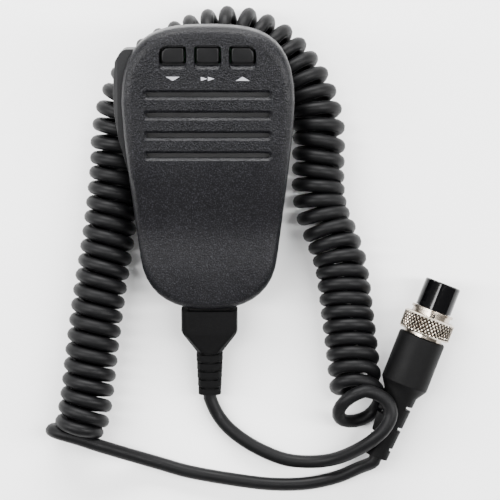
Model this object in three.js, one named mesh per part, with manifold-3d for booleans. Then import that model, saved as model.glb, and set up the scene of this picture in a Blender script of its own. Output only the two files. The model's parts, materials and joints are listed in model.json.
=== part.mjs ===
// A hand microphone with a curly cord and a round multi-pin plug, lying on a table.
// Millimetres. World: z = 0 is the table, +Y runs towards the microphone's top end.
// The microphone is built in its own frame (u across, v along, w out of the front face,
// w = 0 on the parting plane) and then laid, top end raised, over its own cord.
import * as THREE from 'three';
import { mergeVertices } from 'three/addons/utils/BufferGeometryUtils.js';
import { ParametricGeometry } from 'three/addons/geometries/ParametricGeometry.js';
import Module from 'manifold-3d';

const wasm = await Module();
wasm.setup();

// ---------------------------------------------------------------- driving sizes
const GAP = 0.3; // kept between pieces that touch
const RUN = 0.1; // radial clearance of a running fit
const BIG = 200; // reach of a cutting block
const STRAIGHT = 2; // a cord leaves each face straight for this far
const SEAM = 0.15; // each shell stops this far from the parting plane
const OVERLAP = 0.2; // how far joined shapes run into each other

const BODY = {
  halfLength: 54.4,
  halfWidth: 32.3,
  widestAt: 25.8,
  lowHalfWidth: 26,
  lowAt: -33.7,
  frontHeight: 11,
  rearDepth: 15,
  wall: 2,
  rim: 4, // radius of the rounded front edge
  rearWallDepth: 1.5, // short upright wall behind the parting plane
  rearInset: 19, // how far the sloping flanks lean in
  slopeStartV: -1, // below this the front face falls away
  slopeDeg: 3.2,
  bottomPull: 0.59, // how full the outline's curves are
  lowPull: 0.68,
  flankPull: 12,
  widePull: 0.97,
  topPull: 0.5,
  landBevel: 2, // bevel round the rear land
  landBevelDepth: 0.9,
  minRim: 1,
};
const LIE = { tiltDeg: 12.5 }; // the land's lower edge touches the table

const KEYS = {
  names: ['down', 'fast', 'up'],
  pitch: 12.9,
  v: 43.9,
  holeU: 9.8,
  holeV: 7.4,
  side: 0.75, // gap all round a key
  corner: 1.6,
  outerCorner: 3.2, // the outer keys' upper corners follow the body
  top: 10.6, // height of the key's face
  crown: [0.2, 0.6], // how far the cap draws in over its rounded edge
  edge: 0.6, // height of that rounded edge
  flangeExtra: 1.2,
  flangeThickness: 1.2,
  mouth: 1.5, // slope below each hole
  mouthDepth: 1.5,
  lip: 0.2,
};
const SLOTS = {
  count: 4,
  firstV: 29.3,
  pitch: 7.6,
  halfLength: 23,
  height: 1.8,
  corner: 0.8,
  mouth: 1, // width and depth of the bevel round a slot
};
const CLOTH = { halfU: 26, thickness: 0.6, margin: 1.5, corner: 3 };
const CAPSULE = { radius: 9, thickness: 6, ringWall: 2, v: 17.9, tubeRadius: 8, tubeWall: 2.4 };
const BOARD = { side: 0.45, halfV: 4.6, thickness: 1.6, v: 43.1, w: 0.7, bossRadius: 2.2, screwTip: 6.8 };
const TACT = { side: 6, height: 3.4, plungerRadius: 1.5, plungerLength: 2.6, wellFloor: 0.6 };
const CONNECTOR = { halfU: 3, back: 0.4, front: 1, height: 3.4 };
const SCREW = {
  radius: 1.2,
  headRadius: 2.4,
  headHeight: 1.8,
  small: 0.9,
  smallHead: 1.7,
  smallHeadHeight: 1.3,
  slot: 0.3, // half-width of the driver's cross
  slotDepth: 0.6,
  slotReach: 0.6, // share of the head's radius
  endRoom: 0.6, // a blind hole goes this much deeper than its screw
};
const CASE_SCREWS = [
  [-17.5, 35.2],
  [17.5, 35.2],
  [-14, -37],
  [14, -37],
];
const POST = { radius: 3, columnWall: 1, seat: -4.5, tip: 5.8 };

const BAR = {
  bulge: 3.4, // how far the bar stands proud of the body
  topV: 45.6,
  bottomV: -1.5,
  low: -3.4,
  high: 5.4,
  thickness: 6.6,
  clearance: 0.5,
  pinInset: 3.598, // in from the body's side at the pin
  pinV: -3.5,
  eye: 3.1,
  pinRadius: 1,
  pinFit: 0.05,
  pinEnd: 2, // how far the pin goes into each boss
  bossRadius: 2.6,
  fullFrom: 28, // the bar stands fully proud from here
  fadeFrom: 32, // and draws in again above here
  fade: 1.6,
  endStep: 0.3,
  stations: [5, 12, 20, 28, 35, 41],
  heel: 3, // the inner corner cut off at the lower end
  heelLength: 4,
  webInner: 2.6,
  webOuter: 2.4,
  webLength: 5,
  bevelDeg: 40,
  bevelInset: 1.8,
  innerRoom: 4.6, // what the inner face travels, with room to spare
};
const SPRING = { radius: 2, v: 27, w: 1, length: 7.1, seatThickness: 1.6, seatHalf: 3, seatRoot: -2 };
const PTT = {
  v: 18,
  w: 1,
  bodyU: 7,
  bodyV: 8,
  bodyW: 6,
  plungerRadius: 1.4,
  plungerIn: 3,
  reach: 7.2,
  well: 4.8,
};

const STUD = { v: 20, neckRadius: 4.2, neckHeight: 3.2, headRadius: 8.5, headHeight: 2.2, screwIn: 4 };
const TONE = {
  v: -20,
  windowU: 9,
  windowV: 5,
  knobU: 4.2,
  knobGap: 0.4,
  sunk: 0.5, // the knob stays below the land
  travel: 3,
  stem: 1, // half-side of the stem
  stemGap: 0.2,
  stemRoof: 0.6,
  bodyU: 13,
  bodyV: 7,
  bodyW: 4,
  roof: 1,
};
const CLAMP = {
  halfU: 8,
  halfV: 2.2,
  inBy: 11,
  low: -3,
  thickness: 1.6,
  screwU: 5.6,
  screwIn: 4,
  bossRadius: 2.1,
};


const BOOT = {
  w: 0.8,
  halfU: 10.8,
  halfW: 5.6,
  corner: 3.2,
  neckU: 8.4,
  neckW: 3,
  flangeExtra: 2,
  flangeBack: 8, // how far behind the end of the body the flange starts
  shoulderLength: 10.2, // from the body's end
  taperLength: 6.8,
  endHalf: 5,
  ribs: 5,
  ribFirst: 5.1,
  ribLast: 4.4,
  ribLength: 2.3,
  ribGap: 1.1,
  ribFlat: 0.86, // a rib's depth over its width
  ribRound: 0.5,
  core: 3.4,
  flangeLength: 2,
  neckCorner: 2,
  edge: 1.6, // length of the shoulder's rounded end
  edgeIn: [0.7, 0.3],
};

const CORD = { radius: 2.55, sides: 8 };
const COIL = { radius: 10.2, sides: 12, lift: 0.05 };

const PLUG = {
  tip: [90.2, -43.9], // centre of the front face
  end: [64.2, -111], // where the cord leaves
  nutHeight: 10.25,
  dipDeg: 1.8,
  insertRadius: 7.05,
  insertEdge: 0.4,
  insertStep: 0.7, // the insert's inner end is this much smaller
  insertOut: 11.1,
  insertIn: 5,
  grooveDepth: 0.5,
  grooveWidth: 1.6,
  grooveShort: 2,
  grooveDeg: 115,
  sleeveWall: 0.95, // barrel over the insert's inner end
  flangeOver: 0.7, // flange over the barrel
  flangeThickness: 1,
  barrelEnd: 24,
  slotWidth: 2.2,
  slotDeg: 70,
  slotFrom: 0.4,
  slotInNut: 1,
  nutStart: 13.9,
  nutLength: 7.2,
  nutWall: 1.45, // nut over the room that clears the flange
  nutEdge: 0.5,
  nutLip: 1.3,
  flangeRoom: 0.35,
  nutFit: 0.25,
  washerFit: 0.15,
  washerIn: 0.2,
  washer: 0.9,
  bootStart: 22.2,
  bootOver: 1.6, // boot over the barrel
  bootEnd: 41.6,
  bootWall: 1.5,
  chamfer: 0.6,
  reliefStart: 45.6,
  reliefFirst: 6.6,
  reliefLast: 4.5,
  reliefCore: 3.6,
  reliefEnd: 71.8,
  blocks: 6,
  notch: 1.4, // gap between two blocks, open on one side
  contacts: 8,
  contactCircle: 4.5,
  contactRadius: 1.1,
  contactBore: 0.6,
  contactLength: 6,
  contactSunk: 0.4,
  wellEnd: 0.6,
};

const BARREL_RADIUS = PLUG.insertRadius - PLUG.insertStep + PLUG.sleeveWall + GAP;
const FLANGE_RADIUS = BARREL_RADIUS + PLUG.flangeOver;
const NUT_BORE = FLANGE_RADIUS + PLUG.flangeRoom;
const NUT_RADIUS = NUT_BORE + PLUG.nutWall;
const BOOT_RADIUS = BARREL_RADIUS + PLUG.bootOver;

// The curly cord's axis as it lies, from the loop by the plug up, over and down to the left.
const COIL_ROUTE = [
  [56.9, -85.6], [55.6, -75.5], [54.5, -66], [53.2, -56], [52, -45.5], [50.4, -35.5],
  [46.9, -25.4], [43.6, -17.3], [42, -8], [42, 4], [42, 16], [38.7, 29], [32.2, 39.6],
  [22.7, 48.5], [11, 52.8], [0.6, 51.7], [-9.7, 47.9], [-19.4, 43], [-27.3, 35.5], [-32.6, 25.7],
  [-35.3, 14.1], [-35.9, 2], [-37, -10], [-39.3, -28.1], [-42.5, -48.1], [-45.1, -68], [-47.7, -90],
];
// The straight lead from the boot to the coil: along the table, then up over the plug's relief.
const MIC_LEAD = [
  [0.8, -90.6, 3.3], [2.9, -95, 2.7], [6.6, -99.8, 2.7], [12.8, -104.9, 2.7], [20.9, -109.5, 2.7],
  [29.8, -112.8, 2.7], [38.6, -113.6, 3], [47.4, -112.6, 5.8], [56.3, -109.2, 11.6],
  [64, -104.4, 16.6], [68.4, -99.2, 17.4], [67.6, -93.6, 17.2], [62.6, -91.4, 17],
];
// The straight lead from the other end of the coil, along the table to the plug.
const PLUG_LEAD = [
  [-46.4, -97.4, 2.7], [-41.6, -103, 2.7], [-33.5, -107.6, 2.7], [-18, -113.2, 2.7],
  [-2.3, -117.6, 2.7], [11.7, -121.2, 2.7], [25, -122.6, 2.7], [38.6, -122.2, 2.7], [50, -119.4, 2.7],
  [57.5, -116.2, 4.4],
];

// ---------------------------------------------------------------- helpers
const rad = THREE.MathUtils.degToRad;
const v2 = (x, y) => new THREE.Vector2(x, y);
const v3 = (x, y, z) => new THREE.Vector3(x, y, z);

/** A solid from corner positions and triangles. */
function manifold(positions, triangles) {
  return new wasm.Manifold(
    new wasm.Mesh({
      numProp: 3,
      vertProperties: Float32Array.from(positions),
      triVerts: Uint32Array.from(triangles),
    }),
  );
}

/** A closed three.js geometry as a solid that can be cut and joined, faces outward. */
function solid(geometry) {
  const bare = new THREE.BufferGeometry();
  bare.setAttribute('position', geometry.getAttribute('position').clone());
  if (geometry.index) bare.setIndex(geometry.index.clone());
  const merged = mergeVertices(bare, 1e-4);
  const index = merged.index.array;
  const kept = [];
  for (let i = 0; i < index.length; i += 3) {
    const [a, b, c] = index.slice(i, i + 3);
    if (a !== b && b !== c && c !== a) kept.push(a, b, c);
  }
  const positions = merged.getAttribute('position').array;
  const made = manifold(positions, kept);
  if (made.volume() > 0) return made;
  return manifold(positions, kept.reverse());
}

/** A solid back as a three.js geometry. */
function toGeometry(made) {
  const mesh = made.getMesh();
  const geometry = new THREE.BufferGeometry();
  geometry.setAttribute('position', new THREE.BufferAttribute(Float32Array.from(mesh.vertProperties), 3));
  geometry.setIndex(new THREE.BufferAttribute(Uint32Array.from(mesh.triVerts), 1));
  const flat = geometry.toNonIndexed();
  flat.computeVertexNormals();
  return flat;
}

const FINISH = {
  grained: { color: 0x37373a, roughness: 0.62, metalness: 0 },
  smooth: { color: 0x232325, roughness: 0.45, metalness: 0 },
  rubber: { color: 0x1d1d1e, roughness: 0.7, metalness: 0 },
  cord: { color: 0x1c1c1e, roughness: 0.5, metalness: 0 },
  nickel: { color: 0xc9c4b8, roughness: 0.25, metalness: 1 },
  gold: { color: 0xd4a846, roughness: 0.3, metalness: 1 },
  steel: { color: 0x9a9a9a, roughness: 0.35, metalness: 1 },
  glossy: { color: 0x0b0b0c, roughness: 0.12, metalness: 0 },
  board: { color: 0x1f5a34, roughness: 0.6, metalness: 0 },
  cloth: { color: 0x121212, roughness: 0.95, metalness: 0 },
  cream: { color: 0xd8d2c0, roughness: 0.5, metalness: 0 },
};

/** One named piece of the object. */
function piece(name, shape, finish) {
  const geometry = shape instanceof THREE.BufferGeometry ? shape : toGeometry(shape);
  const mesh = new THREE.Mesh(geometry, new THREE.MeshStandardMaterial(FINISH[finish]));
  mesh.name = name;
  return mesh;
}

/** A block between two corners. */
function block(low, high) {
  const size = high.map((value, i) => value - low[i]);
  const middle = high.map((value, i) => (value + low[i]) / 2);
  return solid(new THREE.BoxGeometry(...size)).translate(middle);
}

/** A round bar along w, centred on (u, v). */
function rod(radius, u, v, low, high, sides = 16) {
  const geometry = new THREE.CylinderGeometry(radius, radius, high - low, sides);
  geometry.rotateX(Math.PI / 2);
  return solid(geometry).translate([u, v, (low + high) / 2]);
}

/** A round bar along u, centred on (v, w). */
function crossRod(radius, v, w, low, high, sides = 12) {
  const geometry = new THREE.CylinderGeometry(radius, radius, high - low, sides);
  geometry.rotateZ(Math.PI / 2);
  return solid(geometry).translate([(low + high) / 2, v, w]);
}

/** Rings of matching points at rising heights, skinned into one closed solid. */
function loft(rings) {
  const count = rings[0].points.length;
  const skin = new ParametricGeometry(
    (a, b, target) => {
      const station = Math.round(b * (rings.length + 1)) - 1;
      const ring = rings[Math.min(Math.max(station, 0), rings.length - 1)];
      const point = ring.points[Math.round(a * count) % count];
      const closing = station < 0 || station >= rings.length;
      target.set(closing ? ring.centre.x : point.x, closing ? ring.centre.y : point.y, ring.height);
    },
    count,
    rings.length + 1,
  );
  return solid(skin);
}

/** A ring for loft(). */
function ring(points, height, centre = v2(0, 0)) {
  return { points, height, centre };
}

/** A rectangle with rounded corners, as points; the upper two corners may differ. */
function roundedRect(halfU, halfV, corners, u = 0, v = 0, perCorner = 3) {
  const points = [];
  for (let quarter = 0; quarter < 4; quarter++) {
    const signU = quarter === 0 || quarter === 3 ? 1 : -1;
    const signV = quarter < 2 ? 1 : -1;
    const corner = Array.isArray(corners) ? corners[quarter] : corners;
    for (let i = 0; i <= perCorner; i++) {
      const angle = (quarter + i / perCorner) * (Math.PI / 2);
      points.push(
        v2(
          u + signU * (halfU - corner) + corner * Math.cos(angle),
          v + signV * (halfV - corner) + corner * Math.sin(angle),
        ),
      );
    }
  }
  return points;
}

/** A straight prism of an outline between two heights. */
function prism(points, low, high) {
  const shape = new THREE.Shape(points);
  const geometry = new THREE.ExtrudeGeometry(shape, { depth: high - low, bevelEnabled: false });
  return solid(geometry).translate([0, 0, low]);
}

/** A turned solid about w from (radius, height) pairs that start and end on the axis. */
function turned(profile, sides = 32) {
  const geometry = new THREE.LatheGeometry(profile.map(([r, h]) => v2(r, h)), sides);
  geometry.rotateX(Math.PI / 2);
  return solid(geometry);
}

// ---------------------------------------------------------------- body outline
/** Half of the outline as a curve from the bottom middle up the right side to the top middle. */
function bodyCurve() {
  const { halfLength, halfWidth, widestAt, lowHalfWidth, lowAt } = BODY;
  const side = v2(halfWidth - lowHalfWidth, widestAt - lowAt).normalize();
  const low = v2(lowHalfWidth, lowAt);
  const wide = v2(halfWidth, widestAt);
  const top = halfLength - widestAt;
  const bottom = halfLength + lowAt;
  const curve = new THREE.CurvePath();
  curve.add(
    new THREE.CubicBezierCurve(
      v2(0, -halfLength),
      v2(BODY.bottomPull * lowHalfWidth, -halfLength),
      low.clone().addScaledVector(side, -BODY.lowPull * bottom),
      low,
    ),
  );
  curve.add(
    new THREE.CubicBezierCurve(
      low,
      low.clone().addScaledVector(side, BODY.flankPull),
      wide.clone().sub(v2(0, BODY.flankPull)),
      wide,
    ),
  );
  curve.add(
    new THREE.CubicBezierCurve(
      wide,
      v2(halfWidth, widestAt + BODY.widePull * top),
      v2(BODY.topPull * halfWidth, halfLength),
      v2(0, halfLength),
    ),
  );
  return curve;
}

/** The body's half width at a height on its straight flank. */
function sideAt(v) {
  const { halfWidth, widestAt, lowHalfWidth, lowAt } = BODY;
  return lowHalfWidth + ((halfWidth - lowHalfWidth) * (v - lowAt)) / (widestAt - lowAt);
}

const CURVE_STEPS = [9, 4, 12];

/** The whole outline, anticlockwise from the bottom middle. */
function bodyOutline() {
  const right = [];
  bodyCurve().curves.forEach((curve, i) => {
    right.push(...curve.getPoints(CURVE_STEPS[i]).slice(0, -1));
  });
  const top = v2(0, BODY.halfLength);
  const left = right.slice(1).map((p) => v2(-p.x, p.y));
  return [...right, top, ...left.reverse()];
}

const OUTLINE = bodyOutline();

/** The outline drawn in by the same amount at the sides and at the ends. */
function insetOutline(inset) {
  const across = 1 - inset / BODY.halfWidth;
  const along = 1 - inset / BODY.halfLength;
  return OUTLINE.map((p) => v2(p.x * across, p.y * along));
}

/** Half-width of the body at v. */
function halfWidthAt(v, inset = 0) {
  const points = insetOutline(inset).filter((p) => p.x >= 0);
  for (let i = 1; i < points.length; i++) {
    const [a, b] = [points[i - 1], points[i]];
    if (a.y <= v && v <= b.y) return a.x + ((b.x - a.x) * (v - a.y)) / (b.y - a.y);
  }
  return 0;
}

/** A block of the front shell's shape, its rounded edge included, drawn in by an inset. */
function frontBlock(inset, height, low) {
  const rim = Math.max(BODY.rim - inset, BODY.minRim);
  const steps = 4;
  const rings = [ring(insetOutline(inset), low)];
  for (let i = 0; i <= steps; i++) {
    const angle = (i / steps) * (Math.PI / 2);
    rings.push(ring(insetOutline(inset + rim * (1 - Math.cos(angle))), height - rim + rim * Math.sin(angle)));
  }
  return loft(rings);
}

/** The front block with its lower half falling away. */
function slopedFront(inset, height, low) {
  const flat = frontBlock(inset, height, low);
  const leaning = frontBlock(inset, height, low - BODY.rearDepth)
    .translate([0, -BODY.slopeStartV, -height])
    .rotate([BODY.slopeDeg, 0, 0])
    .translate([0, BODY.slopeStartV, height]);
  return flat.intersect(leaning);
}

/** A block of the rear shell's shape: a short upright wall, leaning flanks and a flat land. */
function rearBlock(inset, depth) {
  const land = BODY.rearInset;
  return loft([
    ring(insetOutline(land), -depth),
    ring(insetOutline(land - BODY.landBevel), -depth + BODY.landBevelDepth),
    ring(insetOutline(inset + 2 * GAP), -BODY.rearWallDepth - GAP),
    ring(insetOutline(inset), -BODY.rearWallDepth + GAP),
    ring(insetOutline(inset), 0),
  ]);
}

// ---------------------------------------------------------------- push-to-talk bar
/** Outline of the bar seen from the front. */
function barOutline() {
  const { bottomV, topV, bulge, fullFrom, fadeFrom, fade, endStep } = BAR;
  const points = [bottomV, ...BAR.stations].map((v) => {
    const rise = Math.sin((Math.PI / 2) * Math.min((v - bottomV) / (fullFrom - bottomV), 1));
    const share = Math.max(0, (v - fadeFrom) / (topV - fadeFrom));
    return v2(-(halfWidthAt(Math.min(v, fadeFrom)) + bulge * rise - fade * share * share), v);
  });
  const shoulder = halfWidthAt(fadeFrom);
  points.push(v2(-(shoulder + 3 * endStep), topV - fade));
  points.push(v2(-(shoulder - 2 * endStep), topV - endStep));
  points.push(v2(-(shoulder - fade), topV));
  points.push(v2(barInnerU(), topV));
  points.push(v2(barInnerU(), bottomV + BAR.heelLength));
  points.push(v2(barInnerU() + BAR.heel, bottomV));
  return points;
}

/** Face of the bar that looks into the body. */
function barInnerU() {
  return -(halfWidthAt(BODY.widestAt) + BAR.bulge / 2 - BAR.thickness);
}

/** The push-to-talk bar: a long paddle with an eye at its lower end. */
function barSolid() {
  const eye = rod(BAR.eye, pinU, BAR.pinV, BAR.low, BAR.high, 20);
  const web = block(
    [pinU - BAR.webInner, BAR.pinV, BAR.low],
    [pinU + BAR.webOuter, BAR.bottomV + BAR.webLength, BAR.high],
  );
  const bevel = block([-BIG, -BIG, 0], [0, BIG, BIG])
    .rotate([0, -BAR.bevelDeg, 0])
    .translate([-halfWidthAt(BODY.widestAt) - BAR.bulge + BAR.bevelInset, 0, BAR.high]);
  return prism(barOutline(), BAR.low, BAR.high)
    .subtract(bevel)
    .add(eye)
    .add(web)
    .subtract(rod(BAR.pinRadius + RUN, pinU, BAR.pinV, -BIG, BIG));
}

/** The room that the bar needs in the two shells, from rest to fully pressed. */
function barRoom() {
  const { clearance } = BAR;
  const low = BAR.low - clearance;
  const high = BAR.high + clearance;
  const room = block([-BIG, BAR.bottomV, low], [barInnerU() + BAR.innerRoom, BAR.topV + clearance, high]);
  const eyeRoom = rod(BAR.eye + clearance, pinU, BAR.pinV, low, high, 20);
  const heel = block(
    [pinU - BAR.eye - clearance, BAR.pinV, low],
    [pinU + BAR.eye + BAR.heel, BAR.bottomV + BAR.webLength + 1, high],
  );
  const side = block([-BIG, BAR.pinV, low], [pinU, BAR.bottomV + 1, high]);
  return room.add(eyeRoom).add(heel).add(side);
}

// ---------------------------------------------------------------- front shell
/** A grille slot with a bevel all round its mouth. */
function slotCutter(v) {
  const { halfLength, height, mouth, corner } = SLOTS;
  const face = BODY.frontHeight;
  const narrow = roundedRect(halfLength, height / 2, corner, 0, v);
  const wide = roundedRect(halfLength + mouth, height / 2 + mouth, corner + mouth / 2, 0, v);
  const centre = v2(0, v);
  return loft([
    ring(narrow, face - 2 * BODY.wall, centre),
    ring(narrow, face - mouth, centre),
    ring(wide, face, centre),
    ring(wide, face + 1, centre),
  ]);
}

/** Corner radii of a key or its hole: the outer keys' outer upper corners are rounder. */
function keyCorners(u, trim = 0) {
  const { corner, outerCorner } = KEYS;
  const radii = [u > 0 ? outerCorner : corner, u < 0 ? outerCorner : corner, corner, corner];
  return radii.map((radius) => radius - trim);
}

/** A key's hole, with a sloping lead-in on its lower side. */
function keyHole(u) {
  const { holeU, holeV, v, mouth, mouthDepth, lip } = KEYS;
  const face = BODY.frontHeight;
  const hole = roundedRect(holeU / 2, holeV / 2, keyCorners(u), u, v);
  const wide = roundedRect(holeU / 2 + lip, holeV / 2 + mouth / 2, keyCorners(u), u, v - mouth / 2);
  const centre = v2(u, v);
  return loft([
    ring(hole, face - 2 * BODY.wall, centre),
    ring(hole, face - mouthDepth, centre),
    ring(wide, face, centre),
    ring(wide, face + 1, centre),
  ]);
}

const pinU = -(sideAt(BAR.pinV) - BAR.pinInset);
const springSeatU = barInnerU() + SPRING.length;
const pttInnerU = barInnerU() + PTT.reach + PTT.bodyU;
const slotVs = Array.from({ length: SLOTS.count }, (_, i) => SLOTS.firstV - i * SLOTS.pitch);
const keyUs = KEYS.names.map((_, i) => (i - 1) * KEYS.pitch);
const boardHalfU = halfWidthAt(BOARD.v + BOARD.halfV, BODY.wall) - BOARD.side;
const boardScrewU = KEYS.pitch + KEYS.holeU / 2 + BOARD.bossRadius;
const boardScrewUs = [-boardScrewU, boardScrewU];
const boardTop = BOARD.w + BOARD.thickness;
const innerFace = BODY.frontHeight - BODY.wall;
const clampV = -BODY.halfLength + CLAMP.inBy;
const clampScrewUs = [-CLAMP.screwU, CLAMP.screwU];

/** Room for the boot's neck through the end wall. */
function bootRoom() {
  const neck = roundedRect(BOOT.neckU + GAP, BOOT.neckW + GAP, BOOT.neckCorner);
  return prism(neck, 0, 2 * BOOT.flangeBack)
    .rotate([90, 0, 0])
    .translate([0, -BODY.halfLength + BOOT.flangeBack - BOOT.flangeLength - GAP, BOOT.w]);
}

/** A blind hole for a screw of this radius, from below. */
function screwHole(radius, u, v, tip) {
  return rod(radius + RUN, u, v, -1, tip + SCREW.endRoom, 12);
}

/** The front shell with its openings, posts and bosses. */
function frontShell() {
  const { wall, frontHeight } = BODY;
  let shell = slopedFront(0, frontHeight, SEAM).subtract(slopedFront(wall, innerFace, -BODY.rearDepth));
  for (const v of slotVs) shell = shell.subtract(slotCutter(v));
  for (const u of keyUs) shell = shell.subtract(keyHole(u));
  const inside = slopedFront(wall / 2, frontHeight - wall / 2, -BODY.rearDepth);
  for (const [u, v] of CASE_SCREWS) {
    const post = rod(POST.radius, u, v, SEAM, frontHeight).intersect(inside);
    shell = shell.add(post).subtract(screwHole(SCREW.radius, u, v, POST.tip));
  }
  for (const u of boardScrewUs) {
    const boss = rod(BOARD.bossRadius, u, BOARD.v, boardTop + GAP, frontHeight - wall / 2, 12);
    shell = shell.add(boss).subtract(screwHole(SCREW.small, u, BOARD.v, BOARD.screwTip));
  }
  const pinBoss = rod(BAR.bossRadius, pinU, BAR.pinV, BAR.high + BAR.clearance, frontHeight);
  return shell
    .subtract(barRoom())
    .add(pinBoss.intersect(inside))
    .subtract(rod(BAR.pinRadius + BAR.pinFit, pinU, BAR.pinV, 0, BAR.high + BAR.pinEnd + GAP))
    .subtract(bootRoom());
}

// ---------------------------------------------------------------- rear shell
/** A screw's column in the rear shell, and the hole its head sinks into. */
function screwColumns(shell, hull) {
  let made = shell;
  for (const [u, v] of CASE_SCREWS) {
    const column = rod(POST.radius + POST.columnWall, u, v, -BODY.rearDepth, -SEAM);
    made = made
      .add(column.intersect(hull))
      .subtract(rod(SCREW.headRadius + GAP, u, v, -BIG, POST.seat))
      .subtract(rod(SCREW.radius + GAP, u, v, -BIG, BIG, 12));
  }
  return made;
}

/** The rear shell: flanks, land, columns, seats and the rear openings. */
function rearShell() {
  const { wall, rearDepth } = BODY;
  const floor = -rearDepth + wall;
  const outer = rearBlock(0, rearDepth).subtract(block([-BIG, -BIG, -SEAM], [BIG, BIG, BIG]));
  const inner = rearBlock(wall, rearDepth - wall).translate([0, 0, RUN]);
  const hull = rearBlock(GAP, rearDepth);
  // A tube that carries the capsule, and clears the hanger's screw head inside it.
  const tube = rod(CAPSULE.tubeRadius, 0, CAPSULE.v, floor - OVERLAP, capsuleLow() - GAP, 24);
  let shell = outer
    .subtract(inner)
    .add(tube)
    .subtract(rod(CAPSULE.tubeRadius - CAPSULE.tubeWall, 0, CAPSULE.v, floor, BIG, 24));
  // A shelf under the push-to-talk switch, a seat for the bar's spring and the pin's boss.
  const shelf = block(
    [pttInnerU - PTT.bodyU, PTT.v - PTT.bodyV / 2, -rearDepth],
    [pttInnerU, PTT.v + PTT.bodyV / 2, PTT.w - PTT.bodyW / 2 - GAP],
  );
  const seat = (low) =>
    block(
      [springSeatU, SPRING.v - SPRING.seatHalf, low],
      [springSeatU + SPRING.seatThickness, SPRING.v + SPRING.seatHalf, SPRING.w + SPRING.radius],
    );
  const pinBoss = rod(BAR.bossRadius, pinU, BAR.pinV, -rearDepth, BAR.low - BAR.clearance);
  const clampBosses = clampScrewUs.map((u) =>
    rod(CLAMP.bossRadius, u, clampV, -rearDepth, CLAMP.low - GAP, 12),
  );
  shell = shell.subtract(barRoom());
  for (const added of [shelf, seat(-rearDepth), pinBoss, ...clampBosses]) {
    shell = shell.add(added.intersect(hull));
  }
  shell = shell
    .add(seat(SPRING.seatRoot))
    .subtract(rod(BAR.pinRadius + BAR.pinFit, pinU, BAR.pinV, BAR.low - BAR.pinEnd - GAP, 0));
  for (const u of clampScrewUs) {
    shell = shell.subtract(rod(SCREW.small + RUN, u, clampV, CLAMP.low - CLAMP.screwIn - GAP, 0, 12));
  }
  // The hanger screw's hole and the tone slider's window in the land.
  const window = block(
    [-TONE.windowU / 2, TONE.v - TONE.windowV / 2, -BIG],
    [TONE.windowU / 2, TONE.v + TONE.windowV / 2, floor + 1],
  );
  return screwColumns(shell, hull)
    .subtract(rod(SCREW.radius + GAP, 0, STUD.v, -BIG, floor + 1, 12))
    .subtract(window)
    .subtract(bootRoom());
}

// ---------------------------------------------------------------- inside pieces
/** Underside of the capsule and its ring. */
function capsuleLow() {
  return innerFace - CLOTH.thickness - 2 * GAP - CAPSULE.thickness;
}

/** Sound cloth behind the slots. */
function clothSolid() {
  const high = innerFace - GAP;
  const top = slotVs[0] + SLOTS.height / 2 + CLOTH.margin;
  const bottom = slotVs[SLOTS.count - 1] - SLOTS.height / 2 - CLOTH.margin;
  const outline = roundedRect(CLOTH.halfU, (top - bottom) / 2, CLOTH.corner, 0, (top + bottom) / 2);
  return prism(outline, high - CLOTH.thickness, high);
}

/** A screw along w: its head from one height to another, then its shank to the tip. */
function screwSolid(radius, headRadius, u, v, headOuter, headInner, tip) {
  const towards = Math.sign(tip - headInner);
  const [headLow, headHigh] = [Math.min(headOuter, headInner), Math.max(headOuter, headInner)];
  const root = headInner - towards * RUN;
  const head = rod(headRadius, 0, 0, headLow, headHigh, 12);
  const shank = rod(radius, 0, 0, Math.min(root, tip), Math.max(root, tip), 10);
  const reach = headRadius * SCREW.slotReach;
  const depth = headOuter + towards * SCREW.slotDepth;
  const far = headOuter - towards * BIG;
  const cross = block(
    [-reach, -SCREW.slot, Math.min(far, depth)],
    [reach, SCREW.slot, Math.max(far, depth)],
  );
  return head
    .add(shank)
    .subtract(cross)
    .subtract(cross.rotate([0, 0, 90]))
    .translate([u, v, 0]);
}

/** Every fixed piece that belongs to the front shell. */
function frontPieces() {
  const ringRadius = CAPSULE.radius + CAPSULE.ringWall;
  const low = capsuleLow();
  const high = low + CAPSULE.thickness;
  const bore = rod(CAPSULE.radius + GAP, 0, CAPSULE.v, -BIG, BIG, 24);
  const pieces = [
    piece('front_shell', frontShell(), 'grained'),
    piece('grille_cloth', clothSolid(), 'cloth'),
    piece('mic_cartridge', rod(CAPSULE.radius, 0, CAPSULE.v, low, high, 24), 'steel'),
    piece('cartridge_ring', rod(ringRadius, 0, CAPSULE.v, low, high, 24).subtract(bore), 'rubber'),
  ];
  let board = block(
    [-boardHalfU, BOARD.v - BOARD.halfV, BOARD.w],
    [boardHalfU, BOARD.v + BOARD.halfV, boardTop],
  );
  boardScrewUs.forEach((u, i) => {
    board = board.subtract(rod(SCREW.small + GAP, u, BOARD.v, -BIG, BIG, 12));
    const head = BOARD.w - GAP;
    const outer = head - SCREW.smallHeadHeight;
    const made = screwSolid(SCREW.small, SCREW.smallHead, u, BOARD.v, outer, head, BOARD.screwTip);
    pieces.push(piece(`board_screw_${i + 1}`, made, 'steel'));
  });
  pieces.push(piece('circuit_board', board, 'board'));
  const base = boardTop + GAP;
  KEYS.names.forEach((name, i) => {
    const half = TACT.side / 2;
    const body = block(
      [keyUs[i] - half, KEYS.v - half, base],
      [keyUs[i] + half, KEYS.v + half, base + TACT.height],
    );
    const well = rod(TACT.plungerRadius + RUN, keyUs[i], KEYS.v, base + TACT.wellFloor, BIG, 14);
    pieces.push(piece(`tact_switch_${name}`, body.subtract(well), 'smooth'));
  });
  const connector = block(
    [keyUs[2] - CONNECTOR.halfU, BOARD.v - BOARD.halfV + CONNECTOR.back, BOARD.w - GAP - CONNECTOR.height],
    [keyUs[2] + CONNECTOR.halfU, BOARD.v + CONNECTOR.front, BOARD.w - GAP],
  );
  pieces.push(piece('wire_connector', connector, 'cream'));
  return pieces;
}

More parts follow.
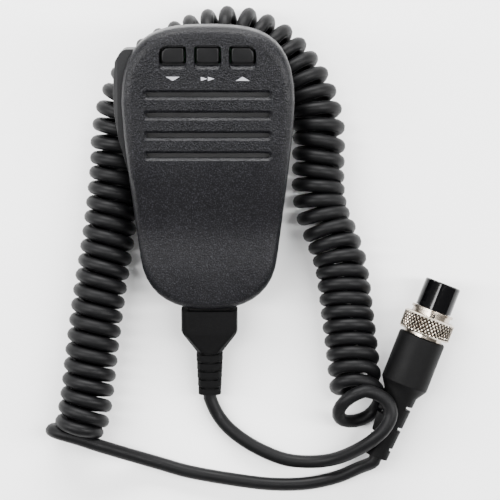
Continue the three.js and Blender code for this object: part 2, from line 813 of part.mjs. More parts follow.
/** The hanger stud and its screw. */
function hangerPieces() {
  const { v, neckRadius, neckHeight, headRadius, headHeight } = STUD;
  const top = -BODY.rearDepth - GAP;
  const neck = rod(neckRadius, 0, v, top - neckHeight - OVERLAP, top, 20);
  const head = rod(headRadius, 0, v, top - neckHeight - headHeight, top - neckHeight, 28);
  const hole = rod(SCREW.radius + RUN, 0, v, top - STUD.screwIn - GAP, BIG, 12);
  const headLow = -BODY.rearDepth + BODY.wall + GAP;
  const headTop = headLow + SCREW.headHeight;
  const screw = screwSolid(SCREW.radius, SCREW.headRadius, 0, v, headTop, headLow, top - STUD.screwIn);
  return [
    piece('hanger_stud', neck.add(head).subtract(hole), 'nickel'),
    piece('hanger_screw', screw, 'steel'),
  ];
}

/** The case screws, sunk in the rear shell. */
function caseScrews() {
  return CASE_SCREWS.map(([u, v], i) => {
    const inner = POST.seat - GAP;
    const made = screwSolid(SCREW.radius, SCREW.headRadius, u, v, inner - SCREW.headHeight, inner, POST.tip);
    return piece(`case_screw_${i + 1}`, made, 'steel');
  });
}

/** The bar's pin, spring and switch body. */
function pttFixedPieces() {
  const pin = rod(BAR.pinRadius, pinU, BAR.pinV, BAR.low - BAR.pinEnd, BAR.high + BAR.pinEnd, 14);
  const [low, high] = [pttInnerU - PTT.bodyU, pttInnerU];
  const body = block(
    [low, PTT.v - PTT.bodyV / 2, PTT.w - PTT.bodyW / 2],
    [high, PTT.v + PTT.bodyV / 2, PTT.w + PTT.bodyW / 2],
  ).subtract(crossRod(PTT.plungerRadius + RUN, PTT.v, PTT.w, low - 1, low + PTT.well, 14));
  const spring = crossRod(SPRING.radius, SPRING.v, SPRING.w, barInnerU() + GAP, springSeatU - GAP);
  return [
    piece('ptt_pin', pin, 'steel'),
    piece('ptt_switch', body, 'smooth'),
    piece('ptt_spring', spring, 'steel'),
  ];
}

/** The plunger of the push-to-talk switch. */
function pttPlunger() {
  const start = barInnerU() + GAP;
  const end = pttInnerU - PTT.bodyU + PTT.plungerIn;
  return piece('ptt_plunger', crossRod(PTT.plungerRadius, PTT.v, PTT.w, start, end), 'cream');
}

/** The tone switch inside and its slider in the land's window. */
function tonePieces() {
  const floor = -BODY.rearDepth + BODY.wall + GAP;
  const left = -TONE.travel / 2;
  const wellU = TONE.travel / 2 + TONE.stem + 2 * TONE.stemGap;
  const wellV = TONE.stem + TONE.stemGap;
  const well = block([-wellU, TONE.v - wellV, -BIG], [wellU, TONE.v + wellV, floor + TONE.bodyW - TONE.roof]);
  const body = block(
    [-TONE.bodyU / 2, TONE.v - TONE.bodyV / 2, floor],
    [TONE.bodyU / 2, TONE.v + TONE.bodyV / 2, floor + TONE.bodyW],
  ).subtract(well);
  const knobV = TONE.windowV / 2 - TONE.knobGap;
  const stem = block(
    [left - TONE.stem, TONE.v - TONE.stem, floor - GAP - RUN],
    [left + TONE.stem, TONE.v + TONE.stem, floor + TONE.bodyW - TONE.roof - TONE.stemRoof],
  );
  const knob = block(
    [left - TONE.knobU / 2, TONE.v - knobV, -BODY.rearDepth + TONE.sunk],
    [left + TONE.knobU / 2, TONE.v + knobV, floor - GAP],
  ).add(stem);
  return [piece('tone_switch', body, 'smooth'), piece('tone_slider', knob, 'smooth')];
}

/** A key with its flange, and the switch plunger under it. */
function keyPieces() {
  const { v, holeU, holeV, side, top, edge, crown, flangeExtra, flangeThickness } = KEYS;
  const flangeTop = innerFace - GAP;
  return KEYS.names.flatMap((name, i) => {
    const u = keyUs[i];
    const [halfU, halfV] = [holeU / 2 - side, holeV / 2 - side];
    const centre = v2(u, v);
    const section = (inset, height) =>
      ring(roundedRect(halfU - inset, halfV - inset, keyCorners(u, side), u, v), height, centre);
    const cap = loft([
      section(0, flangeTop - OVERLAP),
      section(0, top - edge),
      section(crown[0], top - crown[0]),
      section(crown[1], top),
    ]);
    const flange = block(
      [u - halfU, v - holeV / 2 - flangeExtra / 2, flangeTop - flangeThickness],
      [u + halfU, v + holeV / 2 + flangeExtra / 2, flangeTop],
    );
    const tip = flangeTop - flangeThickness - GAP;
    const plunger = rod(TACT.plungerRadius, u, v, tip - TACT.plungerLength, tip, 12);
    return [
      piece(`key_${name}`, cap.add(flange), 'smooth'),
      piece(`tact_plunger_${name}`, plunger, 'smooth'),
    ];
  });
}

// ---------------------------------------------------------------- cord boot
const shoulderEndV = -BODY.halfLength - BOOT.shoulderLength;
const taperEndV = shoulderEndV - BOOT.taperLength;

/** The moulded boot at the microphone's lower end, built along +w and then laid along -v. */
function bootSolid() {
  const { neckU, neckW, neckCorner, flangeExtra, flangeLength, halfU, halfW, corner, edge, edgeIn } = BOOT;
  const start = -BODY.halfLength + BOOT.flangeBack;
  const section = (u, w, round, v) => ring(roundedRect(u, w, round), start - v);
  const neckEnd = -BODY.halfLength - GAP;
  const flange = loft([
    section(neckU + flangeExtra, neckW, neckCorner, start),
    section(neckU + flangeExtra, neckW, neckCorner, start - flangeLength),
  ]);
  const neck = loft([
    section(neckU, neckW, neckCorner, start - flangeLength + OVERLAP),
    section(neckU, neckW, neckCorner, neckEnd - OVERLAP),
  ]);
  const endHalf = BOOT.endHalf + GAP;
  const shoulder = loft([
    section(halfU, halfW, corner, neckEnd),
    section(halfU, halfW, corner, shoulderEndV + edge),
    section(halfU - edgeIn[0], halfW - edgeIn[1], corner, shoulderEndV),
    section(endHalf, endHalf - GAP, endHalf - 2 * GAP, taperEndV),
    section(BOOT.core, BOOT.core, BOOT.core - RUN, taperEndV - 2 * GAP),
  ]);
  let boot = flange.add(neck).add(shoulder);
  for (let i = 0; i < BOOT.ribs; i++) {
    const half = THREE.MathUtils.lerp(BOOT.ribFirst, BOOT.ribLast, i / (BOOT.ribs - 1));
    const high = taperEndV - BOOT.ribGap - i * (BOOT.ribLength + BOOT.ribGap);
    const rib = (v) => section(half, half * BOOT.ribFlat, half * BOOT.ribRound, v);
    boot = boot.add(loft([rib(high), rib(high - BOOT.ribLength)]));
  }
  boot = boot.add(rod(BOOT.core, 0, 0, start - taperEndV - BOOT.ribGap, start - bootEndV(), 12));
  return boot.rotate([90, 0, 0]).translate([0, start, BOOT.w]);
}

/** Where the boot ends and the cord comes out. */
function bootEndV() {
  return taperEndV - BOOT.ribs * (BOOT.ribLength + BOOT.ribGap);
}

/** The clamp bar that holds the cord behind the boot, on two bosses, and its two screws. */
function clampPieces() {
  const { halfU, halfV, low, thickness, screwIn } = CLAMP;
  let bar = block([-halfU, clampV - halfV, low], [halfU, clampV + halfV, low + thickness]);
  for (const u of clampScrewUs) bar = bar.subtract(rod(SCREW.small + GAP, u, clampV, -BIG, BIG, 12));
  const seat = low + thickness + GAP;
  const screws = clampScrewUs.map((u, i) => {
    const outer = seat + SCREW.smallHeadHeight;
    const made = screwSolid(SCREW.small, SCREW.smallHead, u, clampV, outer, seat, low - screwIn);
    return piece(`clamp_screw_${i + 1}`, made, 'steel');
  });
  return [piece('cord_clamp', bar, 'steel'), ...screws];
}

// ---------------------------------------------------------------- cord
/** A round tube along a list of points. */
function tube(points, radius, sides, stepLength, twist = 0) {
  const curve = new THREE.CatmullRomCurve3(points, false, 'centripetal');
  const section = new THREE.Shape(
    Array.from({ length: sides }, (_, i) => {
      const angle = ((i + twist) / sides) * 2 * Math.PI;
      return v2(radius * Math.cos(angle), radius * Math.sin(angle));
    }),
  );
  const steps = Math.ceil(curve.getLength() / stepLength);
  return new THREE.ExtrudeGeometry(section, { steps, extrudePath: curve, bevelEnabled: false });
}

/** Two points where a lead meets the coil's end face, at the top (side 1) or the bottom (side -1). */
function coilFace(before, end, side) {
  const outward = end.clone().sub(before).normalize();
  const edge = end.clone().setZ(end.z + side * (COIL.radius - CORD.radius));
  return [STRAIGHT, GAP].map((out) => edge.clone().addScaledVector(outward, out));
}

/** The coil, as one fat tube, and the two straight leads. */
function cordPieces(bootExit, plugExit) {
  const coil = COIL_ROUTE.map(([x, y]) => v3(x, y, COIL.radius + COIL.lift));
  const count = coil.length;
  const micLead = [...bootExit, ...MIC_LEAD.map((p) => v3(...p)), ...coilFace(coil[1], coil[0], 1)];
  const plugLead = [
    ...coilFace(coil[count - 2], coil[count - 1], -1).reverse(),
    ...PLUG_LEAD.map((p) => v3(...p)),
    ...plugExit,
  ];
  return [
    piece('curly_cord', solid(tube(coil, COIL.radius, COIL.sides, COIL.radius)), 'cord'),
    piece('mic_lead', solid(tube(micLead, CORD.radius, CORD.sides, CORD.radius * 2.2)), 'cord'),
    piece('plug_lead', solid(tube(plugLead, CORD.radius, CORD.sides, CORD.radius * 4)), 'cord'),
  ];
}

// ---------------------------------------------------------------- plug (along +w from its tip)
/** The barrel: a flange behind the insert and a sleeve with a slot. */
function barrelSolid() {
  const front = PLUG.insertOut;
  const sleeve = rod(BARREL_RADIUS, 0, 0, front, PLUG.barrelEnd, 32);
  const flange = rod(FLANGE_RADIUS, 0, 0, front, front + PLUG.flangeThickness, 32);
  const bore = rod(BARREL_RADIUS - PLUG.sleeveWall, 0, 0, -BIG, BIG, 32);
  const slot = block(
    [0, -PLUG.slotWidth / 2, front + PLUG.flangeThickness + PLUG.slotFrom],
    [BIG, PLUG.slotWidth / 2, PLUG.nutStart + PLUG.slotInNut],
  );
  return sleeve.add(flange).subtract(bore).subtract(slot.rotate([0, 0, PLUG.slotDeg]));
}

/** Where each contact stands: one in the middle, the rest on a circle. */
function contactPlaces() {
  const ringCount = PLUG.contacts - 1;
  const places = [[0, 0]];
  for (let i = 0; i < ringCount; i++) {
    const angle = ((i + 0.5) / ringCount) * 2 * Math.PI;
    places.push([PLUG.contactCircle * Math.cos(angle), PLUG.contactCircle * Math.sin(angle)]);
  }
  return places;
}

/** The insert: a glossy cylinder with a key groove and a well for each contact. */
function insertSolid() {
  const front = PLUG.insertOut;
  let made = turned(
    [
      [0, 0],
      [PLUG.insertRadius - PLUG.insertEdge, 0],
      [PLUG.insertRadius, PLUG.insertEdge],
      [PLUG.insertRadius, front - GAP],
      [PLUG.insertRadius - PLUG.insertStep, front - GAP],
      [PLUG.insertRadius - PLUG.insertStep, front + PLUG.insertIn],
      [0, front + PLUG.insertIn],
    ],
    32,
  );
  const groove = block(
    [PLUG.insertRadius - PLUG.grooveDepth, -PLUG.grooveWidth / 2, -1],
    [BIG, PLUG.grooveWidth / 2, front - PLUG.grooveShort],
  );
  made = made.subtract(groove.rotate([0, 0, PLUG.grooveDeg]));
  for (const [x, y] of contactPlaces()) {
    made = made.subtract(rod(PLUG.contactRadius + GAP, x, y, -1, PLUG.contactLength + PLUG.wellEnd, 12));
  }
  return made;
}

/** The contacts, each a short sleeve with a blind bore. */
function contactPieces() {
  return contactPlaces().map(([x, y], i) => {
    const sleeve = rod(PLUG.contactRadius, x, y, PLUG.contactSunk, PLUG.contactLength, 10);
    const bore = rod(PLUG.contactBore, x, y, -1, PLUG.contactLength - 1, 8);
    return piece(`contact_${i + 1}`, sleeve.subtract(bore), 'gold');
  });
}

/** The washer that carries the nut, and the nut. */
function nutPieces() {
  const { nutStart, nutLength, nutEdge, nutLip, nutFit, washer, washerFit, washerIn } = PLUG;
  const end = nutStart + nutLength;
  const lipFront = end - nutLip;
  const profile = [
    [0, nutStart],
    [NUT_RADIUS - nutEdge, nutStart],
    [NUT_RADIUS, nutStart + nutEdge],
    [NUT_RADIUS, end - nutEdge],
    [NUT_RADIUS - nutEdge, end],
    [0, end],
  ];
  const nut = turned(profile, 36)
    .subtract(rod(NUT_BORE, 0, 0, -BIG, lipFront, 36))
    .subtract(rod(BARREL_RADIUS + nutFit, 0, 0, -BIG, BIG, 36));
  const high = lipFront - GAP;
  const ringSolid = rod(NUT_BORE - washerIn, 0, 0, high - washer, high, 32).subtract(
    rod(BARREL_RADIUS + washerFit, 0, 0, -BIG, BIG, 32),
  );
  return [piece('nut_washer', ringSolid, 'nickel'), piece('coupling_nut', nut, 'nickel')];
}

/** The plug's moulded boot; its strain relief is notched from one side and the other in turn. */
function plugBootSolid() {
  const { bootStart, bootEnd, chamfer, reliefStart, reliefFirst, reliefLast, reliefEnd } = PLUG;
  const along = plugDirection();
  const sideways = (Math.atan2(along.x, -along.y) * 180) / Math.PI;
  const profile = [
    [0, bootStart],
    [BOOT_RADIUS - chamfer, bootStart],
    [BOOT_RADIUS, bootStart + chamfer],
    [BOOT_RADIUS, bootEnd],
    [reliefFirst, reliefStart],
    [reliefLast, reliefEnd],
    [0, reliefEnd],
  ];
  const bore = rod(BARREL_RADIUS + GAP, 0, 0, -BIG, PLUG.barrelEnd + PLUG.bootWall, 32);
  let boot = turned(profile, 28).subtract(bore);
  const pitch = (reliefEnd - reliefStart) / PLUG.blocks;
  for (let i = 1; i < PLUG.blocks; i++) {
    const low = reliefStart + i * pitch - PLUG.notch / 2;
    const notch = block([PLUG.reliefCore, -BIG, low], [BIG, BIG, low + PLUG.notch]);
    const turn = i % 2 === 1 ? sideways : sideways + 180;
    boot = boot.subtract(notch.rotate([0, 0, turn]));
  }
  return boot;
}

/** The plug, placed with its tip up the table and its cord end lowered a little. */
function plugGroup() {
  const group = new THREE.Group();
  group.add(piece('plug_barrel', barrelSolid(), 'nickel'));
  group.add(piece('plug_insert', insertSolid(), 'glossy'));
  group.add(piece('plug_boot', plugBootSolid(), 'rubber'));
  group.add(...contactPieces(), ...nutPieces());
  const along = plugDirection();
  group.quaternion.setFromUnitVectors(v3(0, 0, 1), along);
  group.position.copy(plugPoint(0));
  return group;
}

/** Unit vector from the plug's tip towards its cord. */
function plugDirection() {
  const flat = v3(PLUG.end[0] - PLUG.tip[0], PLUG.end[1] - PLUG.tip[1], 0).normalize();
  const dip = rad(PLUG.dipDeg);
  return flat.multiplyScalar(Math.cos(dip)).setZ(-Math.sin(dip));
}

/** A point on the plug's axis, measured from its tip. */
function plugPoint(distance) {
  const middle = PLUG.nutStart + PLUG.nutLength / 2;
  const lift = Math.sin(rad(PLUG.dipDeg)) * middle;
  const tip = v3(PLUG.tip[0], PLUG.tip[1], PLUG.nutHeight + lift);
  return tip.addScaledVector(plugDirection(), distance);
}

// ---------------------------------------------------------------- put together
/** The microphone, laid on the table over its cord. */
function microphoneGroup() {
  const group = new THREE.Group();
  group.add(
    ...frontPieces(),
    piece('rear_shell', rearShell(), 'grained'),
    ...hangerPieces(),
    ...caseScrews(),
    ...pttFixedPieces(),
    ...tonePieces(),
    ...clampPieces(),
    piece('cord_boot', bootSolid(), 'rubber'),
    piece('ptt_bar', barSolid(), 'smooth'),
    pttPlunger(),
    ...keyPieces(),
  );
  const tilt = rad(LIE.tiltDeg);
  group.rotation.x = tilt;
  const restV = BODY.halfLength - BODY.rearInset;
  group.position.z = restV * Math.sin(tilt) + BODY.rearDepth * Math.cos(tilt);
  group.updateMatrixWorld(true);
  return group;
}

const microphone = microphoneGroup();
const bootExit = [GAP, STRAIGHT].map((out) => microphone.localToWorld(v3(0, bootEndV() - out, BOOT.w)));
const plugExit = [STRAIGHT, GAP].map((out) => plugPoint(PLUG.reliefEnd + out));

const assembly = new THREE.Group();
assembly.add(microphone, plugGroup(), ...cordPieces(bootExit, plugExit));
// The origin lies on the table under the middle of the microphone.
const middle = new THREE.Box3().setFromObject(microphone, true).getCenter(v3(0, 0, 0));
assembly.position.set(-middle.x, -middle.y, 0);

export default assembly;
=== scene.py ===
"""A hand microphone with its curly cord and round plug, dressed for a studio still."""

import json
import logging
import math
from dataclasses import dataclass
from enum import Enum
from typing import ClassVar

import bmesh
import bpy
from mathutils import Matrix, Vector

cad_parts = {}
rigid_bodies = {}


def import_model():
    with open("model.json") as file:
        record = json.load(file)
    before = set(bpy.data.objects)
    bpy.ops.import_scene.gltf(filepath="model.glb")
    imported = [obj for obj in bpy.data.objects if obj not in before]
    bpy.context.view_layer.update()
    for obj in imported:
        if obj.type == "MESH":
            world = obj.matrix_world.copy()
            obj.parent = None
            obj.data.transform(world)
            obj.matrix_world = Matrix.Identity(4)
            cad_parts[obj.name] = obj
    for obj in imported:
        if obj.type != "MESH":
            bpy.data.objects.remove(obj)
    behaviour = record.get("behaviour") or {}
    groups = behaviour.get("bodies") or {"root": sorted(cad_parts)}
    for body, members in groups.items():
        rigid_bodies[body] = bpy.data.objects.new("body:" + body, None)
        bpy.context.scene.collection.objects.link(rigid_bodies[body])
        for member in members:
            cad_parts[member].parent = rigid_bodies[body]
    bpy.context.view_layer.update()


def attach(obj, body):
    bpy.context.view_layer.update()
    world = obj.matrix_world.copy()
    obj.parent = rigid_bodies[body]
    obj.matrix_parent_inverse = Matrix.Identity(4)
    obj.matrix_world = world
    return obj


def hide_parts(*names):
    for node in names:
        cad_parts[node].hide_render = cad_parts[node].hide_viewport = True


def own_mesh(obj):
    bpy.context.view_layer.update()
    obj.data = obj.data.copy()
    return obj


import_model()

LOG = logging.getLogger("hand_microphone")
MM = 0.001
# The routes below are measured from the middle of the microphone's own frame; this moves them
# to the row frame, whose origin is under the middle of the microphone's box.
ROUTE_SHIFT = Vector((1.6437, 16.9741, 0.0))
TILT = math.radians(12.5)
# Welding of the CAD copies: how close two corners are one, how thin a face is nothing, and how
# flat a joint between faces is no edge.
WELD = 2e-6
THIN = 1e-6
FLAT = math.radians(0.4)
# An edge is shaded sharp a little above the angle at which it is rounded.
SHADE_MARGIN = 12.0
COAT_ROUGHNESS = 0.12
DUST_SHARE = 0.12
# The depth of the knurl's cut at which its painted groove shade starts and is darkest.
GROOVE_SHADE_SPAN = (0.15, 0.62, 0.0, 1.0)
# The hollow across the lower half of the face: its middle and its half width, in metres.
PALM_MIDDLE = 0.006
PALM_WIDTH = 0.014


# ------------------------------------------------------------------ small helpers
def smoothstep(x: float) -> float:
    """Ease from 0 to 1, held outside that range.

    Args:
        x: The value to ease.

    Returns:
        The eased value.
    """
    x = min(max(x, 0.0), 1.0)
    return x * x * (3.0 - 2.0 * x)


def ramp(knots: list[tuple[float, float]], x: float) -> float:
    """Read a value off a list of (place, value) pairs, eased between them.

    Args:
        knots: Pairs in rising order of place.
        x: The place to read at.

    Returns:
        The eased value, held at the ends.
    """
    if x <= knots[0][0]:
        return knots[0][1]
    for (x0, y0), (x1, y1) in zip(knots, knots[1:]):
        if x <= x1:
            return y0 + (y1 - y0) * smoothstep((x - x0) / (x1 - x0))
    return knots[-1][1]


def catmull_rom(points: list[Vector], step: float) -> list[Vector]:
    """Run a smooth centripetal curve through points.

    Args:
        points: The points to pass through.
        step: Wanted distance between the points returned.

    Returns:
        Points along the curve, first and last included.
    """
    ends = [points[0] * 2 - points[1], *points, points[-1] * 2 - points[-2]]
    out: list[Vector] = []
    for a, b, c, d in zip(ends, ends[1:], ends[2:], ends[3:]):
        t0 = 0.0
        t1 = t0 + math.sqrt((b - a).length)
        t2 = t1 + math.sqrt((c - b).length)
        t3 = t2 + math.sqrt((d - c).length)
        count = max(1, round((c - b).length / step))
        for i in range(count):
            t = t1 + (t2 - t1) * i / count
            a1 = a * ((t1 - t) / (t1 - t0)) + b * ((t - t0) / (t1 - t0))
            a2 = b * ((t2 - t) / (t2 - t1)) + c * ((t - t1) / (t2 - t1))
            a3 = c * ((t3 - t) / (t3 - t2)) + d * ((t - t2) / (t3 - t2))
            b1 = a1 * ((t2 - t) / (t2 - t0)) + a2 * ((t - t0) / (t2 - t0))
            b2 = a2 * ((t3 - t) / (t3 - t1)) + a3 * ((t - t1) / (t3 - t1))
            out.append(b1 * ((t2 - t) / (t2 - t1)) + b2 * ((t - t1) / (t2 - t1)))
    out.append(points[-1].copy())
    return out


def to_frame(point: Vector) -> Vector:
    """A route point in millimetres, as a place in the row frame in metres.

    Args:
        point: The point, in millimetres.

    Returns:
        The place, in metres.
    """
    return (point + ROUTE_SHIFT) * MM


def deselect() -> None:
    """Leave nothing selected."""
    bpy.ops.object.select_all(action="DESELECT")


def activate(obj: bpy.types.Object) -> None:
    """Make one object the only selected and active one.

    Args:
        obj: The object.
    """
    deselect()
    obj.select_set(True)
    bpy.context.view_layer.objects.active = obj


def local_to_frame(u: float, v: float, w: float) -> Vector:
    """A place in the microphone's own millimetre frame, in the row frame in metres.

    Args:
        u: Across the microphone.
        v: Along it, towards its top.
        w: Out of its front face.

    Returns:
        The place, in metres.
    """
    turned = Matrix.Rotation(TILT, 3, "X") @ Vector((u, v, w))
    return to_frame(turned + Vector((0.0, 0.0, Body.lift())))


# ------------------------------------------------------------------ shader groups
class NodeBench:
    """A short way to lay nodes in a tree."""

    def __init__(self, tree: bpy.types.NodeTree) -> None:
        """Keep the tree.

        Args:
            tree: The node tree that it works on.
        """
        self.tree = tree

    def add(self, kind: str, **values: object) -> bpy.types.Node:
        """Add a node and set its properties.

        Args:
            kind: The node's type name.
            values: Properties by name; a name that starts with "in_" sets that input instead.

        Returns:
            The new node.
        """
        node = self.tree.nodes.new(kind)
        for key, value in values.items():
            if key.startswith("in_"):
                node.inputs[key[3:].replace("_", " ")].default_value = value
            else:
                setattr(node, key, value)
        return node

    def link(self, source: bpy.types.NodeSocket, target: bpy.types.NodeSocket) -> None:
        """Join an output to an input.

        Args:
            source: The output to join from.
            target: The input to join to.
        """
        self.tree.links.new(source, target)

    def maths(self, operation: str, a: object, b: object) -> bpy.types.NodeSocket:
        """Add a maths node.

        Args:
            operation: The maths node's operation.
            a: A socket or a number.
            b: A socket or a number.

        Returns:
            The result's socket.
        """
        node = self.add("ShaderNodeMath", operation=operation)
        for index, value in enumerate((a, b)):
            if isinstance(value, bpy.types.NodeSocket):
                self.link(value, node.inputs[index])
            else:
                node.inputs[index].default_value = value
        return node.outputs[0]

    def remap(
        self, value: bpy.types.NodeSocket, span: tuple[float, float, float, float]
    ) -> bpy.types.NodeSocket:
        """Map a value from one range to another.

        Args:
            value: The socket to map.
            span: From low, from high, to low and to high.

        Returns:
            The mapped value's socket.
        """
        node = self.add("ShaderNodeMapRange")
        for index, number in enumerate(span):
            node.inputs[index + 1].default_value = number
        self.link(value, node.inputs[0])
        return node.outputs[0]


class EffectGroups:
    """The surface effects that several finishes share, each built once."""

    # Finer or coarser than the group's own scale.
    soft_share = 0.55
    fleck_share = 1.3
    dust_share = 9.0
    mark_share = 0.25
    # How much of the moulded grain is pebble, and how much is soft unevenness.
    pebble_height = 0.65
    soft_height = 0.5
    # Where each mask starts and is full on its noise.
    glint_span = (0.5, 0.72, 0.0, 1.0)
    polish_span = (0.32, 0.68, 0.0, 1.0)
    dust_span = (0.55, 0.8, 0.0, 1.0)
    mark_span = (0.4, 0.7, 0.0, 1.0)
    # The lines of turned metal are this much longer than they are wide.
    line_stretch = (6.0, 1.0, 6.0)

    def __init__(self) -> None:
        """Build every group."""
        self.grain = self._grain()
        self.wear = self._wear()
        self.brushed = self._brushed()
        self.weave = self._weave()

    @staticmethod
    def _new(name: str, inputs: dict[str, float], outputs: list[str]) -> tuple[bpy.types.NodeTree, NodeBench]:
        """Start a group with a vector input, number inputs and number outputs.

        Args:
            name: The group's name.
            inputs: Number inputs and their defaults.
            outputs: Names of the number outputs.

        Returns:
            The group and a bench on it, with nodes named Start and End.
        """
        group = bpy.data.node_groups.new(name, "ShaderNodeTree")
        group.interface.new_socket("Vector", in_out="INPUT", socket_type="NodeSocketVector")
        for key, value in inputs.items():
            socket = group.interface.new_socket(key, in_out="INPUT", socket_type="NodeSocketFloat")
            socket.default_value = value
        for key in outputs:
            group.interface.new_socket(key, in_out="OUTPUT", socket_type="NodeSocketFloat")
        bench = NodeBench(group)
        bench.add("NodeGroupInput", name="Start")
        bench.add("NodeGroupOutput", name="End")
        return group, bench

    def _grain(self) -> bpy.types.NodeTree:
        """Moulded grain: small soft pebbles, with painted glints: lighter flecks of colour that stand for
        light caught on the grain.

        Returns:
            The group.
        """
        group, bench = self._new("moulded_grain", {"Scale": 1800.0}, ["Height", "Glint fleck"])
        start, end = group.nodes["Start"], group.nodes["End"]
        cells = bench.add("ShaderNodeTexVoronoi", feature="SMOOTH_F1", in_Smoothness=0.6)
        soft = bench.add("ShaderNodeTexNoise", in_Detail=3.0, in_Roughness=0.6)
        flecks = bench.add("ShaderNodeTexNoise", in_Detail=2.0)
        for node, share in ((cells, 1.0), (soft, self.soft_share), (flecks, self.fleck_share)):
            bench.link(start.outputs["Vector"], node.inputs["Vector"])
            bench.link(bench.maths("MULTIPLY", start.outputs["Scale"], share), node.inputs["Scale"])
        pebbles = bench.maths("MULTIPLY", cells.outputs["Distance"], self.pebble_height)
        unevenness = bench.maths("MULTIPLY", soft.outputs[0], self.soft_height)
        height = bench.maths("ADD", pebbles, unevenness)
        bench.link(height, end.inputs["Height"])
        # Painted glints: the flecks lighten the colour as if they caught the light.
        bench.link(bench.remap(flecks.outputs[0], self.glint_span), end.inputs["Glint fleck"])
        return group

    def _wear(self) -> bpy.types.NodeTree:
        """Handling wear: broad patches of polish, and a little dust.

        Returns:
            The group.
        """
        group, bench = self._new("handling_wear", {"Scale": 70.0}, ["Polish", "Dust"])
        start, end = group.nodes["Start"], group.nodes["End"]
        broad = bench.add("ShaderNodeTexNoise", in_Detail=5.0, in_Roughness=0.55)
        dust = bench.add("ShaderNodeTexNoise", in_Detail=6.0, in_Roughness=0.7)
        for node, share in ((broad, 1.0), (dust, self.dust_share)):
            bench.link(start.outputs["Vector"], node.inputs["Vector"])
            bench.link(bench.maths("MULTIPLY", start.outputs["Scale"], share), node.inputs["Scale"])
        bench.link(bench.remap(broad.outputs[0], self.polish_span), end.inputs["Polish"])
        bench.link(bench.remap(dust.outputs[0], self.dust_span), end.inputs["Dust"])
        return group

    def _brushed(self) -> bpy.types.NodeTree:
        """Turned metal: fine lines round the piece, broken by small marks.

        Returns:
            The group.
        """
        group, bench = self._new("turned_metal", {"Scale": 900.0}, ["Lines", "Marks"])
        start, end = group.nodes["Start"], group.nodes["End"]
        stretch = bench.add("ShaderNodeMapping", vector_type="TEXTURE")
        stretch.inputs["Scale"].default_value = self.line_stretch
        bench.link(start.outputs["Vector"], stretch.inputs["Vector"])
        lines = bench.add("ShaderNodeTexNoise", in_Detail=3.0)
        marks = bench.add("ShaderNodeTexNoise", in_Detail=4.0, in_Roughness=0.65)
        bench.link(stretch.outputs[0], lines.inputs["Vector"])
        bench.link(start.outputs["Vector"], marks.inputs["Vector"])
        bench.link(start.outputs["Scale"], lines.inputs["Scale"])
        bench.link(bench.maths("MULTIPLY", start.outputs["Scale"], self.mark_share), marks.inputs["Scale"])
        bench.link(lines.outputs[0], end.inputs["Lines"])
        bench.link(bench.remap(marks.outputs[0], self.mark_span), end.inputs["Marks"])
        return group

    def _weave(self) -> bpy.types.NodeTree:
        """Plain weave of the sound cloth.

        Returns:
            The group.
        """
        group, bench = self._new("sound_cloth_weave", {"Scale": 1500.0}, ["Height"])
        start, end = group.nodes["Start"], group.nodes["End"]
        split = bench.add("ShaderNodeSeparateXYZ")
        bench.link(start.outputs["Vector"], split.inputs[0])
        threads = []
        for axis in (0, 1):
            angle = bench.maths("MULTIPLY", split.outputs[axis], start.outputs["Scale"])
            threads.append(bench.maths("SINE", bench.maths("MULTIPLY", angle, math.tau), 0.0))
        bench.link(bench.maths("MULTIPLY", threads[0], threads[1]), end.inputs["Height"])
        return group


# ------------------------------------------------------------------ finishes
class Relief(Enum):
    """What breaks up a finish."""

    GRAIN = "grain"
    METAL = "metal"
    WEAVE = "weave"


